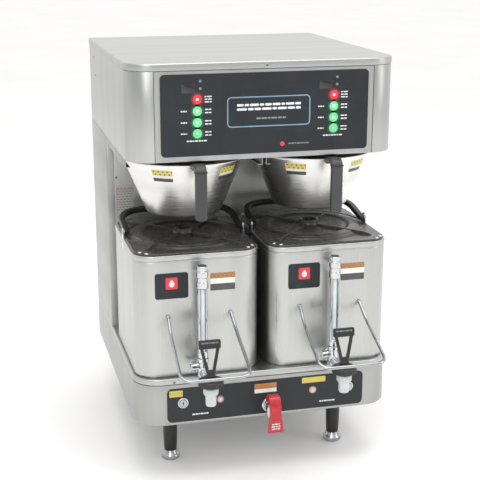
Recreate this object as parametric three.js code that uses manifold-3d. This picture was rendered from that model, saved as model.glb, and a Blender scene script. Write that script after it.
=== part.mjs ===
// Twin shuttle coffee brewer: a stainless tower with a hood over two insulated
// shuttles. Two cone brew baskets slide on rails under the hood, a hot-water
// tap stands in the base, and four legs with levelling feet carry it.
// Millimetres, +Z up. Pieces are drawn with X = 0 on the centre plane, Y = 0 on
// the hood's front face (positive towards the back) and Z = 0 on the counter.
import * as THREE from 'three';
import { mergeVertices } from 'three/addons/utils/BufferGeometryUtils.js';
import Module from 'manifold-3d';

const wasm = await Module();
wasm.setup();

// ---- driving dimensions -------------------------------------------------
const halfWidth = 266.5;
const backY = 562;
const sheet = 2;
const gap = 0.3;

const footHeight = 20;
const baseBottom = 123;
const baseFrontY = -17;
const baseRadius = 55;
const deckTop = 222;
const deckFlange = 12;

const hoodBottom = 653;
const hoodTop = 825;
const hoodRadius = 50;
const coverTop = 839;
const coverOverhang = 1;
const seamX = 218;

const columnFrontY = 318;
const columnReturn = 15;

const stationX = 134.5;
const stationY = 142.5;

const basketBottom = 526;
const basketFlangeZ = 640;
const basketBottomRadius = 76;
const basketTopRadius = 121.5;
const basketFlangeRadius = 129;

const shuttleHalfWidth = 127;
const shuttleFrontY = -5;
const shuttleBackY = 290;
const shuttleTop = 472;
const shuttleRadius = 42;
const linerRadius = 112;
const lidInset = 4;
const lidTop = 476;
const bailPivot = { y: 147, z: 484 };
const bailReach = 109;
const bailRise = 21;
const bailHalfSpan = 118.5;

const faucetY = -100;
const shankZ = 238;
const gaugeY = -30;
const guardFrontY = -157;
const guardWire = 3.3;

const tapX = 3;
const tapZ = 150;
const controlZ = 170;
const switchX = 173;

const legX = 180;
const legFrontY = 92;
const legBackY = 453;

const tankY = 442;
const tankRadius = 105;
const tankTop = 600;

const inletTipY = 578;
const serviceX = 180;
const serviceZ = 262;

// ---- materials ------------------------------------------------------------
function material(color, roughness, metalness) {
  return new THREE.MeshStandardMaterial({ color, roughness, metalness });
}

const steel = material(0xb9b9b6, 0.35, 1);
const chrome = material(0xd8dadb, 0.08, 1);
const charcoal = material(0x3b4145, 0.5, 0);
const blackPlastic = material(0x1b1b1c, 0.45, 0);
const redPlastic = material(0xc83a40, 0.35, 0);
const redKey = material(0xdc3c46, 0.4, 0);
const greenKey = material(0x78dc96, 0.4, 0);
const boardGreen = material(0x1f5a35, 0.5, 0);
const brass = material(0xb89a4e, 0.3, 1);

// ---- solids -----------------------------------------------------------------
// Turns a closed three.js geometry into a manifold solid.
function solid(geometry) {
  const bare = geometry.clone();
  bare.deleteAttribute('normal');
  bare.deleteAttribute('uv');
  const merged = mergeVertices(bare, 1e-4);
  const index = merged.index.array;
  const kept = [];
  for (let i = 0; i < index.length; i += 3) {
    const [a, b, c] = [index[i], index[i + 1], index[i + 2]];
    if (a !== b && b !== c && c !== a) {
      kept.push(a, b, c);
    }
  }
  return new wasm.Manifold(new wasm.Mesh({
    numProp: 3,
    vertProperties: new Float32Array(merged.attributes.position.array),
    triVerts: new Uint32Array(kept),
  }));
}

function union(first, ...others) {
  return others.reduce((whole, other) => whole.add(other), first);
}

function cut(whole, ...tools) {
  return tools.reduce((rest, tool) => rest.subtract(tool), whole);
}

function box(x0, x1, y0, y1, z0, z1) {
  const geometry = new THREE.BoxGeometry(x1 - x0, y1 - y0, z1 - z0);
  geometry.translate((x0 + x1) / 2, (y0 + y1) / 2, (z0 + z1) / 2);
  return solid(geometry);
}

// A shape drawn in X and Y, standing from z0 to z1.
function standing(shape, z0, z1, curveSegments = 4) {
  const options = { depth: z1 - z0, bevelEnabled: false, curveSegments };
  const geometry = new THREE.ExtrudeGeometry(shape, options);
  geometry.translate(0, 0, z0);
  return solid(geometry);
}

// A shape drawn in X and Z, running back from y0 to y1.
function facing(shape, y0, y1, curveSegments = 3) {
  const options = { depth: y1 - y0, bevelEnabled: false, curveSegments };
  const geometry = new THREE.ExtrudeGeometry(shape, options);
  geometry.rotateX(Math.PI / 2);
  geometry.translate(0, y1, 0);
  return solid(geometry);
}

// A shape drawn in Y and Z, running across from x0 to x1.
function sideways(shape, x0, x1) {
  const options = { depth: x1 - x0, bevelEnabled: false, curveSegments: 3 };
  const geometry = new THREE.ExtrudeGeometry(shape, options);
  geometry.rotateX(Math.PI / 2);
  geometry.rotateZ(Math.PI / 2);
  geometry.translate(x0, 0, 0);
  return solid(geometry);
}

// A profile of [radius, z] points turned about the vertical axis at x, y.
// The points run anticlockwise seen with radius to the right and z up.
function turned(profile, segments, x = 0, y = 0) {
  const points = profile.map(([radius, z]) => new THREE.Vector2(radius, z));
  const [first, last] = [points[0], points[points.length - 1]];
  if (first.x > 0 || last.x > 0) {
    points.push(first.clone());
  }
  const geometry = new THREE.LatheGeometry(points, segments);
  geometry.rotateX(Math.PI / 2);
  geometry.translate(x, y, 0);
  return solid(geometry);
}

function post(x, y, radius, z0, z1, segments = 14) {
  return turned([[0, z0], [radius, z0], [radius, z1], [0, z1]], segments, x, y);
}

// A round bar along Y.
function barY(x, z, radius, y0, y1, segments = 14) {
  const geometry = new THREE.CylinderGeometry(radius, radius, y1 - y0, segments);
  geometry.translate(x, (y0 + y1) / 2, z);
  return solid(geometry);
}

// A round bar along X.
function barX(y, z, radius, x0, x1, segments = 12) {
  const geometry = new THREE.CylinderGeometry(radius, radius, x1 - x0, segments);
  geometry.rotateZ(Math.PI / 2);
  geometry.translate((x0 + x1) / 2, y, z);
  return solid(geometry);
}

// Straight runs through the points, joined by smooth bends.
function bentPath(points, bend) {
  const corners = points.map((point) => new THREE.Vector3(...point));
  const path = new THREE.CurvePath();
  let start = corners[0];
  for (let i = 1; i < corners.length - 1; i += 1) {
    const corner = corners[i];
    const inward = corners[i - 1].clone().sub(corner);
    const outward = corners[i + 1].clone().sub(corner);
    const reach = Math.min(bend, inward.length() / 2, outward.length() / 2);
    const enter = corner.clone().add(inward.setLength(reach));
    const leave = corner.clone().add(outward.setLength(reach));
    path.add(new THREE.LineCurve3(start, enter));
    path.add(new THREE.QuadraticBezierCurve3(enter, corner, leave));
    start = leave;
  }
  path.add(new THREE.LineCurve3(start, corners[corners.length - 1]));
  return path;
}

function wire(points, bend, radius, steps, sides = 8) {
  const section = new THREE.Shape();
  section.absarc(0, 0, radius, 0, 2 * Math.PI);
  const geometry = new THREE.ExtrudeGeometry(section, {
    steps,
    curveSegments: sides / 2,
    extrudePath: bentPath(points, bend),
  });
  return solid(geometry);
}

// ---- outlines --------------------------------------------------------------
function polygon(...points) {
  return new THREE.Shape(points.map(([x, y]) => new THREE.Vector2(x, y)));
}

function roundedRect(x0, y0, x1, y1, radius) {
  const shape = new THREE.Shape();
  shape.moveTo(x0 + radius, y0);
  shape.lineTo(x1 - radius, y0);
  shape.absarc(x1 - radius, y0 + radius, radius, -Math.PI / 2, 0);
  shape.lineTo(x1, y1 - radius);
  shape.absarc(x1 - radius, y1 - radius, radius, 0, Math.PI / 2);
  shape.lineTo(x0 + radius, y1);
  shape.absarc(x0 + radius, y1 - radius, radius, Math.PI / 2, Math.PI);
  shape.lineTo(x0, y0 + radius);
  shape.absarc(x0 + radius, y0 + radius, radius, Math.PI, 1.5 * Math.PI);
  return shape;
}

// The cabinet's plan: square at the back, rounded at the two front corners.
function cabinetPlan(half, frontY, rearY, radius) {
  const shape = new THREE.Shape();
  shape.moveTo(half, rearY);
  shape.lineTo(-half, rearY);
  shape.lineTo(-half, frontY + radius);
  shape.absarc(-half + radius, frontY + radius, radius, Math.PI, 1.5 * Math.PI);
  shape.lineTo(half - radius, frontY);
  shape.absarc(half - radius, frontY + radius, radius, -Math.PI / 2, 0);
  return shape;
}

function cabinet(inset, frontY, rearY, radius, z0, z1) {
  const plan = cabinetPlan(halfWidth - inset, frontY + inset, rearY - inset, radius - inset);
  return standing(plan, z0, z1);
}

// ---- assembly ------------------------------------------------------------
const brewer = new THREE.Group();
const pieces = new THREE.Group();
brewer.add(pieces);

function add(name, shape, surface, parent = pieces) {
  const { numProp, vertProperties, triVerts } = shape.getMesh();
  const geometry = new THREE.BufferGeometry();
  geometry.setAttribute('position', new THREE.BufferAttribute(vertProperties, numProp));
  geometry.setIndex(new THREE.BufferAttribute(triVerts, 1));
  const mesh = new THREE.Mesh(geometry, surface);
  mesh.name = name;
  parent.add(mesh);
}

const sides = [['left', -1], ['right', 1]];

// ---- base ---------------------------------------------------------------
function baseShell() {
  const top = deckTop - deckFlange - gap;
  const outer = cabinet(0, baseFrontY, backY, baseRadius, baseBottom, top);
  const room = cabinet(sheet, baseFrontY, backY, baseRadius, baseBottom + sheet, top + 1);
  const holes = [barY(tapX, tapZ, 11.5, baseFrontY - 5, baseFrontY + 10)];
  for (const [, side] of sides) {
    holes.push(barY(side * switchX, controlZ, 6.5, baseFrontY - 5, baseFrontY + 10));
  }
  return cut(outer, room, ...holes);
}

function baseDeck() {
  const outer = cabinet(0, baseFrontY, backY, baseRadius, deckTop - deckFlange, deckTop);
  const under = cabinet(sheet, baseFrontY, backY, baseRadius, deckTop - deckFlange - 1, deckTop - sheet);
  const wiring = box(140, 230, 370, 500, deckTop - 5, deckTop + 5);
  return cut(outer, under, wiring);
}

function baseOverlay() {
  const back = baseFrontY - gap;
  const face = facing(roundedRect(-205, 129.3, 205, 201.2, 10), back - 1, back);
  const holes = [barY(tapX, tapZ, 11.5, back - 5, back + 5)];
  for (const [, side] of sides) {
    holes.push(barY(side * switchX, controlZ, 8.5, back - 5, back + 5));
  }
  return cut(face, ...holes);
}

// A button with a stem that runs in through the overlay and the base wall.
function warmerSwitch(side) {
  const front = baseFrontY - 5;
  const head = barY(side * switchX, controlZ, 8, front, baseFrontY - gap - 2);
  const stem = barY(side * switchX, controlZ, 4, front, baseFrontY + 14, 12);
  return union(head, stem);
}

// A heating plate under the deck with a ring groove for its element.
const warmerProfile = [
  [0, 213], [85, 213], [85, 219.4], [66, 219.4], [66, 217], [60, 217], [60, 219.4], [0, 219.4],
];

add('base_shell', baseShell(), steel);
add('base_deck', baseDeck(), steel);
add('base_overlay', baseOverlay(), charcoal);
for (const [name, side] of sides) {
  add(`warmer_element_${name}`, turned(warmerProfile, 20, side * stationX, stationY), steel);
  add(`warmer_switch_${name}`, warmerSwitch(side), chrome);
}

// ---- legs and levelling feet ------------------------------------------------
const legProfile = [
  [5, footHeight + gap], [13.5, footHeight + gap], [16.5, 112], [22, 114],
  [22, baseBottom - gap], [0, baseBottom - gap], [0, 64], [5, 64],
];
const footProfile = [
  [0, 0], [17.5, 0], [19.5, 3], [19.5, 9], [13.5, footHeight], [4.4, footHeight], [4.4, 60], [0, 60],
];
for (const [row, y] of [['front', legFrontY], ['back', legBackY]]) {
  for (const [name, side] of sides) {
    add(`leg_${row}_${name}`, turned(legProfile, 16, side * legX, y), blackPlastic);
    add(`foot_${row}_${name}`, turned(footProfile, 16, side * legX, y), chrome);
  }
}

// ---- hot-water tap -----------------------------------------------------------
function tapBody() {
  const front = baseFrontY - gap - 1 - gap;
  const shank = barY(tapX, tapZ, 11, -52, -6);
  const flange = barY(tapX, tapZ, 16, front - 4, front);
  const barrel = post(tapX, -47, 12, 132, 160);
  const spout = turned([[5, 112], [7, 112], [7, 136], [5, 136]], 16, tapX, -47);
  const bore = post(tapX, -47, 5, 100, 140, 16);
  return union(cut(union(shank, flange, barrel), bore), spout);
}

// A hub over the barrel and a strap that hangs in front of it, wider at its foot.
function tapLever() {
  const strap = new THREE.Shape();
  strap.moveTo(-42, 162);
  strap.lineTo(-36, 178);
  strap.quadraticCurveTo(-40, 187, -52, 186);
  strap.quadraticCurveTo(-70, 184, -74, 168);
  strap.lineTo(-78, 112);
  strap.lineTo(-72, 111);
  strap.lineTo(-67, 166);
  strap.quadraticCurveTo(-64, 173, -58, 173);
  strap.lineTo(-53, 162);
  const front = polygon([-12, 190], [-12, 150], [-17.5, 108], [17.5, 108], [12, 150], [12, 190]);
  const lever = sideways(strap, -20, 20).intersect(facing(front, -100, 0));
  return lever.translate([tapX, 0, 0]);
}

add('tap_body', tapBody(), chrome);
add('tap_lever', tapLever(), redPlastic);

// ---- column ---------------------------------------------------------------
const columnBottom = deckTop + gap;
const columnTop = hoodBottom - gap;

function columnShell() {
  const outer = box(-halfWidth, halfWidth, columnFrontY, backY, columnBottom, columnTop);
  const inner = halfWidth - sheet;
  const room = box(-inner, inner, columnFrontY + sheet, backY - sheet, columnBottom - 1, columnTop + 1);
  const mouth = halfWidth - columnReturn;
  const opening = box(-mouth, mouth, columnFrontY - 1, columnFrontY + 5, columnBottom - 1, columnTop + 1);
  const inlet = barY(-serviceX, serviceZ, 11, backY - 10, backY + 10);
  const gland = barY(serviceX, serviceZ, 11, backY - 10, backY + 10);
  return cut(outer, room, opening, inlet, gland);
}

function splashPanel() {
  const half = halfWidth - columnReturn - gap;
  return box(-half, half, columnFrontY, columnFrontY + sheet, columnBottom, columnTop);
}

// A threaded body through the back wall with a collar outside and a through bore.
function rearFitting(x, tipY, collarRadius, boreRadius) {
  const body = barY(x, serviceZ, 10, backY - 20, tipY);
  const collar = barY(x, serviceZ, collarRadius, backY + gap, backY + 7, 6);
  const bore = barY(x, serviceZ, boreRadius, backY - 30, tipY + 10, 16);
  return cut(union(body, collar), bore);
}

add('column_shell', columnShell(), steel);
add('splash_panel', splashPanel(), steel);
add('water_inlet', rearFitting(-serviceX, inletTipY, 16, 5), brass);
add('cord_gland', rearFitting(serviceX, inletTipY - 4, 15, 6), blackPlastic);

// ---- water tank -------------------------------------------------------------
function waterTank() {
  const wall = tankRadius - sheet;
  return turned([
    [0, columnBottom], [tankRadius, columnBottom], [tankRadius, tankTop - sheet],
    [tankRadius + 7, tankTop - sheet], [tankRadius + 7, tankTop], [wall, tankTop],
    [wall, columnBottom + sheet], [0, columnBottom + sheet],
  ], 20, 0, tankY);
}

// The tank's lid with a hairpin heater element hanging from it.
function tankHeater() {
  const top = tankTop + gap + 4;
  const lid = post(0, tankY, tankRadius + 7, tankTop + gap, top, 20);
  const route = [[-40, tankY, top - 2], [-40, tankY, 280], [40, tankY, 280], [40, tankY, top - 2]];
  const hairpin = wire(route, 36, 5, 14, 6);
  const terminals = [-40, 40].map((x) => post(x, tankY, 7, top - 1, top + 18, 12));
  return union(lid, hairpin, ...terminals);
}

add('water_tank', waterTank(), steel);
add('tank_heater', tankHeater(), steel);

// ---- hood ----------------------------------------------------------------
const hoodWallTop = hoodTop - gap;

function hoodShell() {
  const outer = cabinet(0, 0, backY, hoodRadius, hoodBottom, hoodWallTop);
  const room = cabinet(sheet, 0, backY, hoodRadius, hoodBottom - 1, hoodWallTop + 1);
  const front = box(-seamX, seamX, -5, 5, hoodBottom - 1, hoodWallTop + 1);
  return cut(outer, room, front);
}

function hoodFloor() {
  const inset = sheet + gap;
  const plate = cabinet(inset, 0, backY, hoodRadius, hoodBottom + gap, hoodBottom + gap + sheet);
  const service = box(-235, 235, 335, 550, hoodBottom - 5, hoodBottom + 10);
  const [low, high] = [hoodBottom - 5, hoodBottom + 10];
  const sprays = sides.map(([, side]) => post(side * stationX, stationY, 15, low, high));
  return cut(plate, service, ...sprays);
}

function topCover() {
  const over = -coverOverhang;
  const radius = hoodRadius;
  const outer = cabinet(over, 0, backY, radius, hoodTop, coverTop);
  const under = cabinet(over + sheet, 0, backY, radius, hoodTop - 1, coverTop - sheet);
  return cut(outer, under);
}

// Two pairs of rails with inward lips, joined by a bridge at their back ends.
// The outer rails start behind the hood's rounded corners.
function basketRails() {
  const rearY = 290;
  const top = hoodBottom - gap;
  const lipTop = basketFlangeZ - gap;
  const lipBottom = lipTop - 2;
  const web = basketFlangeRadius + 0.8;
  const lipReach = basketTopRadius + 1;
  const rails = [];
  for (const [, side] of sides) {
    for (const hand of [-1, 1]) {
      const frontY = hand === side ? 46 : 12;
      const edge = (offset) => side * stationX + hand * offset;
      const [w0, w1] = [edge(web), edge(web + 1.5)].sort((a, b) => a - b);
      const [l0, l1] = [edge(lipReach), edge(web + 1.5)].sort((a, b) => a - b);
      rails.push(box(w0, w1, frontY, rearY, lipBottom, top));
      rails.push(box(l0, l1, frontY, rearY, lipBottom, lipTop));
    }
  }
  const reach = stationX + web + 1.5;
  const bridge = box(-reach, reach, rearY - sheet, rearY, lipBottom, top);
  return union(bridge, ...rails);
}

add('hood_shell', hoodShell(), steel);
add('hood_front_panel', box(-seamX + gap, seamX - gap, 0, sheet, hoodBottom, hoodWallTop), steel);
add('hood_floor', hoodFloor(), steel);
add('top_cover', topCover(), steel);
add('basket_rails', basketRails(), steel);

// ---- control panel ---------------------------------------------------------
const keyRadius = 9;
const keyRows = [
  ['stop', 771, redKey],
  ['large', 748.8, greenKey],
  ['medium', 727.3, greenKey],
  ['small', 706.3, greenKey],
];

function controlOverlay() {
  const face = facing(roundedRect(-204.5, 663.5, 204.5, 818.1, 8), -1.8, -gap);
  const holes = [];
  for (const [, side] of sides) {
    for (const [, z] of keyRows) {
      holes.push(barY(side * stationX, z, keyRadius + 0.5, -5, 5, 14));
    }
  }
  return cut(face, ...holes);
}

function controlBoard() {
  const board = box(-180, 180, 14, 16, 690, 800);
  const relays = [-120, -60, 60, 120].map((x) => box(x - 14, x + 14, 15, 32, 700, 728));
  const transformer = box(-25, 25, 15, 48, 735, 785);
  return union(board, transformer, ...relays);
}

add('control_overlay', controlOverlay(), charcoal);
add('control_board', controlBoard(), boardGreen);
for (const [name, side] of sides) {
  for (const [key, z, surface] of keyRows) {
    add(`key_${key}_${name}`, barY(side * stationX, z, keyRadius, -2.6, -1.3, 14), surface);
  }
}

// ---- brew stations: spray head, basket and its handle -----------------------
function sprayHead(side) {
  const x = side * stationX;
  const head = post(x, stationY, 28, 646, 651, 20);
  const port = side * 60;
  const route = [[x, stationY, 650], [x, stationY, 690], [port, tankY, 690], [port, tankY, 605]];
  const pipe = wire(route, 24, 7, 16, 6);
  return union(head, pipe);
}

function basket(side) {
  const wall = 1.8;
  return turned([
    [6, basketBottom], [basketBottomRadius, basketBottom], [basketTopRadius, basketFlangeZ - 3],
    [basketTopRadius, basketFlangeZ], [basketFlangeRadius, basketFlangeZ],
    [basketFlangeRadius, basketFlangeZ + 2.5], [basketTopRadius - wall, basketFlangeZ + 2.5],
    [basketTopRadius - wall, basketFlangeZ - 3], [basketBottomRadius - 1, basketBottom + wall],
    [6, basketBottom + wall],
  ], 28, side * stationX, stationY);
}

// A strap that leaves the rim forwards and turns down in front of the cone.
function basketHandle(side) {
  const x = side * stationX;
  const strap = new THREE.Shape();
  strap.moveTo(12, 636);
  strap.lineTo(12, 643);
  strap.lineTo(-18, 651);
  strap.quadraticCurveTo(-33, 652, -34, 640);
  strap.lineTo(-34, 546);
  strap.quadraticCurveTo(-33, 542, -28, 542);
  strap.quadraticCurveTo(-23, 542, -22, 546);
  strap.lineTo(-22, 638);
  const cone = turned([
    [0, basketBottom - 1], [basketBottomRadius + gap, basketBottom - 1],
    [basketTopRadius + gap, basketFlangeZ - 3], [basketTopRadius + gap, basketFlangeZ - gap],
    [basketFlangeRadius + gap, basketFlangeZ - gap], [basketFlangeRadius + gap, basketFlangeZ + 20],
    [0, basketFlangeZ + 20],
  ], 28, x, stationY);
  const bar = sideways(strap, x - 11.5, x + 11.5);
  const tongue = box(x - 9, x + 9, 8, 30, basketFlangeZ - 8, basketFlangeZ - 3);
  return cut(union(bar, tongue), cone);
}

for (const [name, side] of sides) {
  add(`spray_head_${name}`, sprayHead(side), steel);
  add(`brew_basket_${name}`, basket(side), steel);
  add(`basket_handle_${name}`, basketHandle(side), blackPlastic);
}

// ---- shuttles ---------------------------------------------------------------
// Shuttle pieces are drawn about the shuttle's own centre plane, X = 0.
const shuttleBottom = deckTop + gap;
const earInner = shuttleHalfWidth - 2.8;

function shuttlePlan(inset) {
  const half = shuttleHalfWidth - inset;
  return roundedRect(-half, shuttleFrontY + inset, half, shuttleBackY - inset, shuttleRadius - inset);
}

function shuttleBody() {
  const outer = standing(shuttlePlan(0), shuttleBottom, shuttleTop);
  const room = standing(shuttlePlan(sheet), shuttleBottom + sheet, shuttleTop - sheet);
  const mouth = post(0, stationY, 104, shuttleTop - 10, shuttleTop + 10, 28);
  const shankHole = barY(0, shankZ, 10, shuttleFrontY - 5, shuttleFrontY + 10);
  const ears = [];
  for (const side of [-1, 1]) {
    const [x0, x1] = [side * earInner, side * (earInner + 2.5)].sort((a, b) => a - b);
    const { y, z } = bailPivot;
    const ear = union(box(x0, x1, y - 10, y + 10, shuttleTop - 1, z), barX(y, z, 10, x0, x1));
    ears.push(cut(ear, barX(y, z, 3, x0 - 1, x1 + 1)));
  }
  return union(cut(outer, room, mouth, shankHole), ...ears);
}

function shuttleLiner() {
  const wall = 1.5;
  const top = shuttleTop - sheet - gap;
  const floor = shuttleBottom + sheet + 8;
  return turned([
    [0, floor], [60, floor], [linerRadius, floor + 14], [linerRadius, top],
    [linerRadius - wall, top], [linerRadius - wall, floor + 15], [59.6, floor + wall], [0, floor + wall],
  ], 24, 0, stationY);
}

// A flat cover with a stepped round dish, a plug ring, four ribs that run from
// the hub into the corners, and an open hub that the basket drains into.
function shuttleLid() {
  const seat = shuttleTop + gap;
  const cover = standing(shuttlePlan(lidInset), seat, lidTop);
  const dish = turned([
    [10, 466], [100, 466], [100, lidTop - 1], [104, lidTop - 1],
    [98, 479.5], [84, 480.5], [78, 477], [10, 477],
  ], 28, 0, stationY);
  const hub = post(0, stationY, 20, 467, 489, 14);
  const throat = post(0, stationY, 14, 460, 500, 14);
  const diagonal = THREE.MathUtils.radToDeg(Math.atan2(stationY - shuttleFrontY, shuttleHalfWidth));
  const ribs = [diagonal, 180 - diagonal, 180 + diagonal, -diagonal].map((degrees) => {
    const rib = box(18, 146, -2.5, 2.5, 474, 482);
    return rib.rotate([0, 0, degrees]).translate([0, stationY, 0]);
  });
  return cut(union(cover, dish, hub, ...ribs), throat);
}

// A bail that lies back over the lid, hung on two pins in the body's ears.
function bailHandle() {
  const { y, z } = bailPivot;
  const half = bailHalfSpan;
  const [rearY, rearZ] = [y + bailReach, z + bailRise];
  const route = [
    [-half, y - 6, z - 1], [-half, rearY, rearZ], [half, rearY, rearZ], [half, y - 6, z - 1],
  ];
  const bow = wire(route, 70, 5.2, 24, 6);
  const pins = [
    barX(y, z, 2.7, -earInner - 2.4, -half, 12),
    barX(y, z, 2.7, half, earInner + 2.4, 12),
  ];
  return union(bow, ...pins);
}

function wireGuard() {
  const front = shuttleFrontY - gap;
  const [bendY, bendZ] = [-45, 320];
  const barZ = 272;
  const bow = wire([
    [-63, front - 1.5, 347], [-65, bendY, bendZ], [-67, guardFrontY, barZ],
    [67, guardFrontY, barZ], [65, bendY, bendZ], [63, front - 1.5, 347],
  ], 26, guardWire, 36, 6);
  const pads = [-63, 63].map((x) => barY(x, 347, 5, front - 2, front, 12));
  const wall = box(-100, 100, front, front + 30, 300, 400);
  return cut(union(bow, ...pads), wall);
}

function sightGauge() {
  const tube = turned([
    [0, 268], [11, 268], [11, 280], [10, 282], [10, 408], [12, 410],
    [12, 446], [10.5, 448], [10.5, 456], [0, 456],
  ], 16, 0, gaugeY);
  const bracket = box(-9, 9, gaugeY, shuttleFrontY - gap, 418, 438);
  return union(tube, bracket);
}

// Shank, gauge cross with its wing plug, valve barrel, bonnet, collar and nozzle.
function faucetBody() {
  const shank = barY(0, shankZ, 9, faucetY, 26);
  const flange = barY(0, shankZ, 15, shuttleFrontY - gap - 4, shuttleFrontY - gap);
  const cross = post(0, gaugeY, 12, 227, 267.5);
  const plug = barX(gaugeY, 250, 8, -27, 0, 8);
  const valve = turned([
    [6, 196], [11.5, 196], [12, 218], [16, 222], [16, 232], [25, 238], [25, 247], [21, 251], [0, 251],
    [0, 244], [6, 244],
  ], 16, 0, faucetY);
  const bore = post(0, faucetY, 6, 190, 244, 16);
  return union(cut(union(shank, flange, cross, plug), bore), valve);
}

// An open trapezoid handle standing on the bonnet, leaning back a little.
function faucetLever() {
  const outline = polygon([-7, 252.5], [7, 252.5], [21.5, 322], [21.5, 327], [-21.5, 327], [-21.5, 322]);
  const opening = polygon([-4, 268], [4, 268], [13, 312], [-13, 312]);
  const lever = cut(facing(outline, faucetY - 4, faucetY + 4), facing(opening, faucetY - 5, faucetY + 5));
  const pivot = barX(faucetY, 256, 3.4, -9, 9, 12);
  const upright = union(lever, pivot).translate([0, -faucetY, -256]);
  return upright.rotate([-8, 0, 0]).translate([0, faucetY, 256]);
}

for (const [name, side] of sides) {
  const shuttle = new THREE.Group();
  shuttle.position.x = side * stationX;
  pieces.add(shuttle);
  add(`shuttle_body_${name}`, shuttleBody(), steel, shuttle);
  add(`shuttle_liner_${name}`, shuttleLiner(), steel, shuttle);
  add(`shuttle_lid_${name}`, shuttleLid(), blackPlastic, shuttle);
  add(`bail_handle_${name}`, bailHandle(), blackPlastic, shuttle);
  add(`wire_guard_${name}`, wireGuard(), chrome, shuttle);
  add(`sight_gauge_${name}`, sightGauge(), chrome, shuttle);
  add(`faucet_body_${name}`, faucetBody(), chrome, shuttle);
  add(`faucet_lever_${name}`, faucetLever(), blackPlastic, shuttle);
}

// The origin is the middle of the footprint, on the counter.
brewer.position.y = -(guardFrontY - guardWire + inletTipY) / 2;

export default brewer;
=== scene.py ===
"""Twin shuttle coffee brewer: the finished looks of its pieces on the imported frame.

Sizes in the code are millimetres in the maker's own frame: X from the centre
plane, Y back from the hood's front face and Z up from the counter.
"""
import math

import bmesh
import bpy
import numpy as np
from bpy.props import FloatProperty, FloatVectorProperty, PointerProperty
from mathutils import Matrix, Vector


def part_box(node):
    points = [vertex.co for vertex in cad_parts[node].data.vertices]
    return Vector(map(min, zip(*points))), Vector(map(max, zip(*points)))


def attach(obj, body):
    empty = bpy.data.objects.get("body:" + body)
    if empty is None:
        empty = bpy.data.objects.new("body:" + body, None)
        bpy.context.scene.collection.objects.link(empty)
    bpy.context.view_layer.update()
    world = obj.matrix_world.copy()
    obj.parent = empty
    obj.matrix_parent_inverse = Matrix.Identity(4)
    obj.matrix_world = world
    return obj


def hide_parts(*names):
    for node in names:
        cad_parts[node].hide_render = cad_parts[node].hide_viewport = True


bl_info = {
    "name": "Twin Shuttle Coffee Brewer",
    "version": (1, 0, 0),
    "blender": (4, 5, 0),
    "location": "3D View > Sidebar > Brewer",
    "description": "Builds the visible pieces of a twin shuttle coffee brewer on its packed frame",
    "category": "Object",
}

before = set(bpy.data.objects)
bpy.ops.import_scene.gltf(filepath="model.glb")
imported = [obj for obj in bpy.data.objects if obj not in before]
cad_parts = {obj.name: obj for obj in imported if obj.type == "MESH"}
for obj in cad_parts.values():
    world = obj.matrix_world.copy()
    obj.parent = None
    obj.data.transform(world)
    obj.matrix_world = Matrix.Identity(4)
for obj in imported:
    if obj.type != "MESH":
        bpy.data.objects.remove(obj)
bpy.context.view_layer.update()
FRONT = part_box("hood_front_panel")[0].y
SIDES = (("left", -1), ("right", 1))
KEYS = ("stop", "large", "medium", "small")

# Places in millimetres that no box gives by itself: the seam beside the front
# panel, the tops of a shuttle's body and of its cover's plate, the bail's pin as
# (y, z), the heights of the faucet's shank, its wing plug and a guard's seats, and
# the Y at which each side's outer basket rail starts.
SEAM_X = 216.5
SHUTTLE_TOP = 472.0
LID_TOP = 476.0
BAIL_PIN = (147.0, 484.0)
SHANK_Z = 238.0
WING_Z = 250
GUARD_SEAT_Z = 347
RAIL_FRONT = {"left": 46, "right": 120}

# The camera: its lens in millimetres, its place in metres with Y from the hood's
# front face, and how far it looks down and to the right, in degrees.
LENS = 82.86
CAMERA_PLACE = (-0.5642, -2.0137, 1.0688)
LOOK_DOWN, LOOK_RIGHT = 15.49, 14.28


# ---- places ----------------------------------------------------------------------
def span(*names):
    """Lowest and highest corner of CAD nodes, in the maker's frame."""
    corners = np.array([[list(corner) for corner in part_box(name)] for name in names])
    corners = (corners - np.array([0.0, FRONT, 0.0])) * 1000
    return corners[:, 0].min(0), corners[:, 1].max(0)


def middle(name):
    """The middle of a CAD node's box."""
    low, high = span(name)
    return (low + high) / 2


def station(side):
    """X and Y of a brew station's upright axis, from its shuttle's liner."""
    return middle(f"shuttle_liner_{side}")[:2]


def plan(low, high):
    """A box's limits seen from above, as (x0, x1, y0, y1)."""
    return (low[0], high[0], low[1], high[1])


def sorted_area(x0, x1, y0, y1):
    """A rectangle's limits with the lower one first each way."""
    return (min(x0, x1), max(x0, x1), min(y0, y1), max(y0, y1))


def side_way(side):
    """The outward facing of a side wall."""
    return "-x" if side < 0 else "x"


# ---- surfaces --------------------------------------------------------------------
# A surface is a dict: points (n, 3), quads (m, 4), uv (m, 4, 2) and rings, the
# many-sided faces that close its ends.
def join(*parts):
    """Several surfaces as one: the points are stacked and the faces renumbered."""
    starts = np.cumsum([0] + [len(part["points"]) for part in parts[:-1]])
    return {
        "points": np.concatenate([part["points"] for part in parts]),
        "quads": np.concatenate([part["quads"] + s for part, s in zip(parts, starts)]),
        "uv": np.concatenate([part["uv"] for part in parts]),
        "rings": [ring + s for part, s in zip(parts, starts) for ring in part["rings"]],
    }


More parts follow.
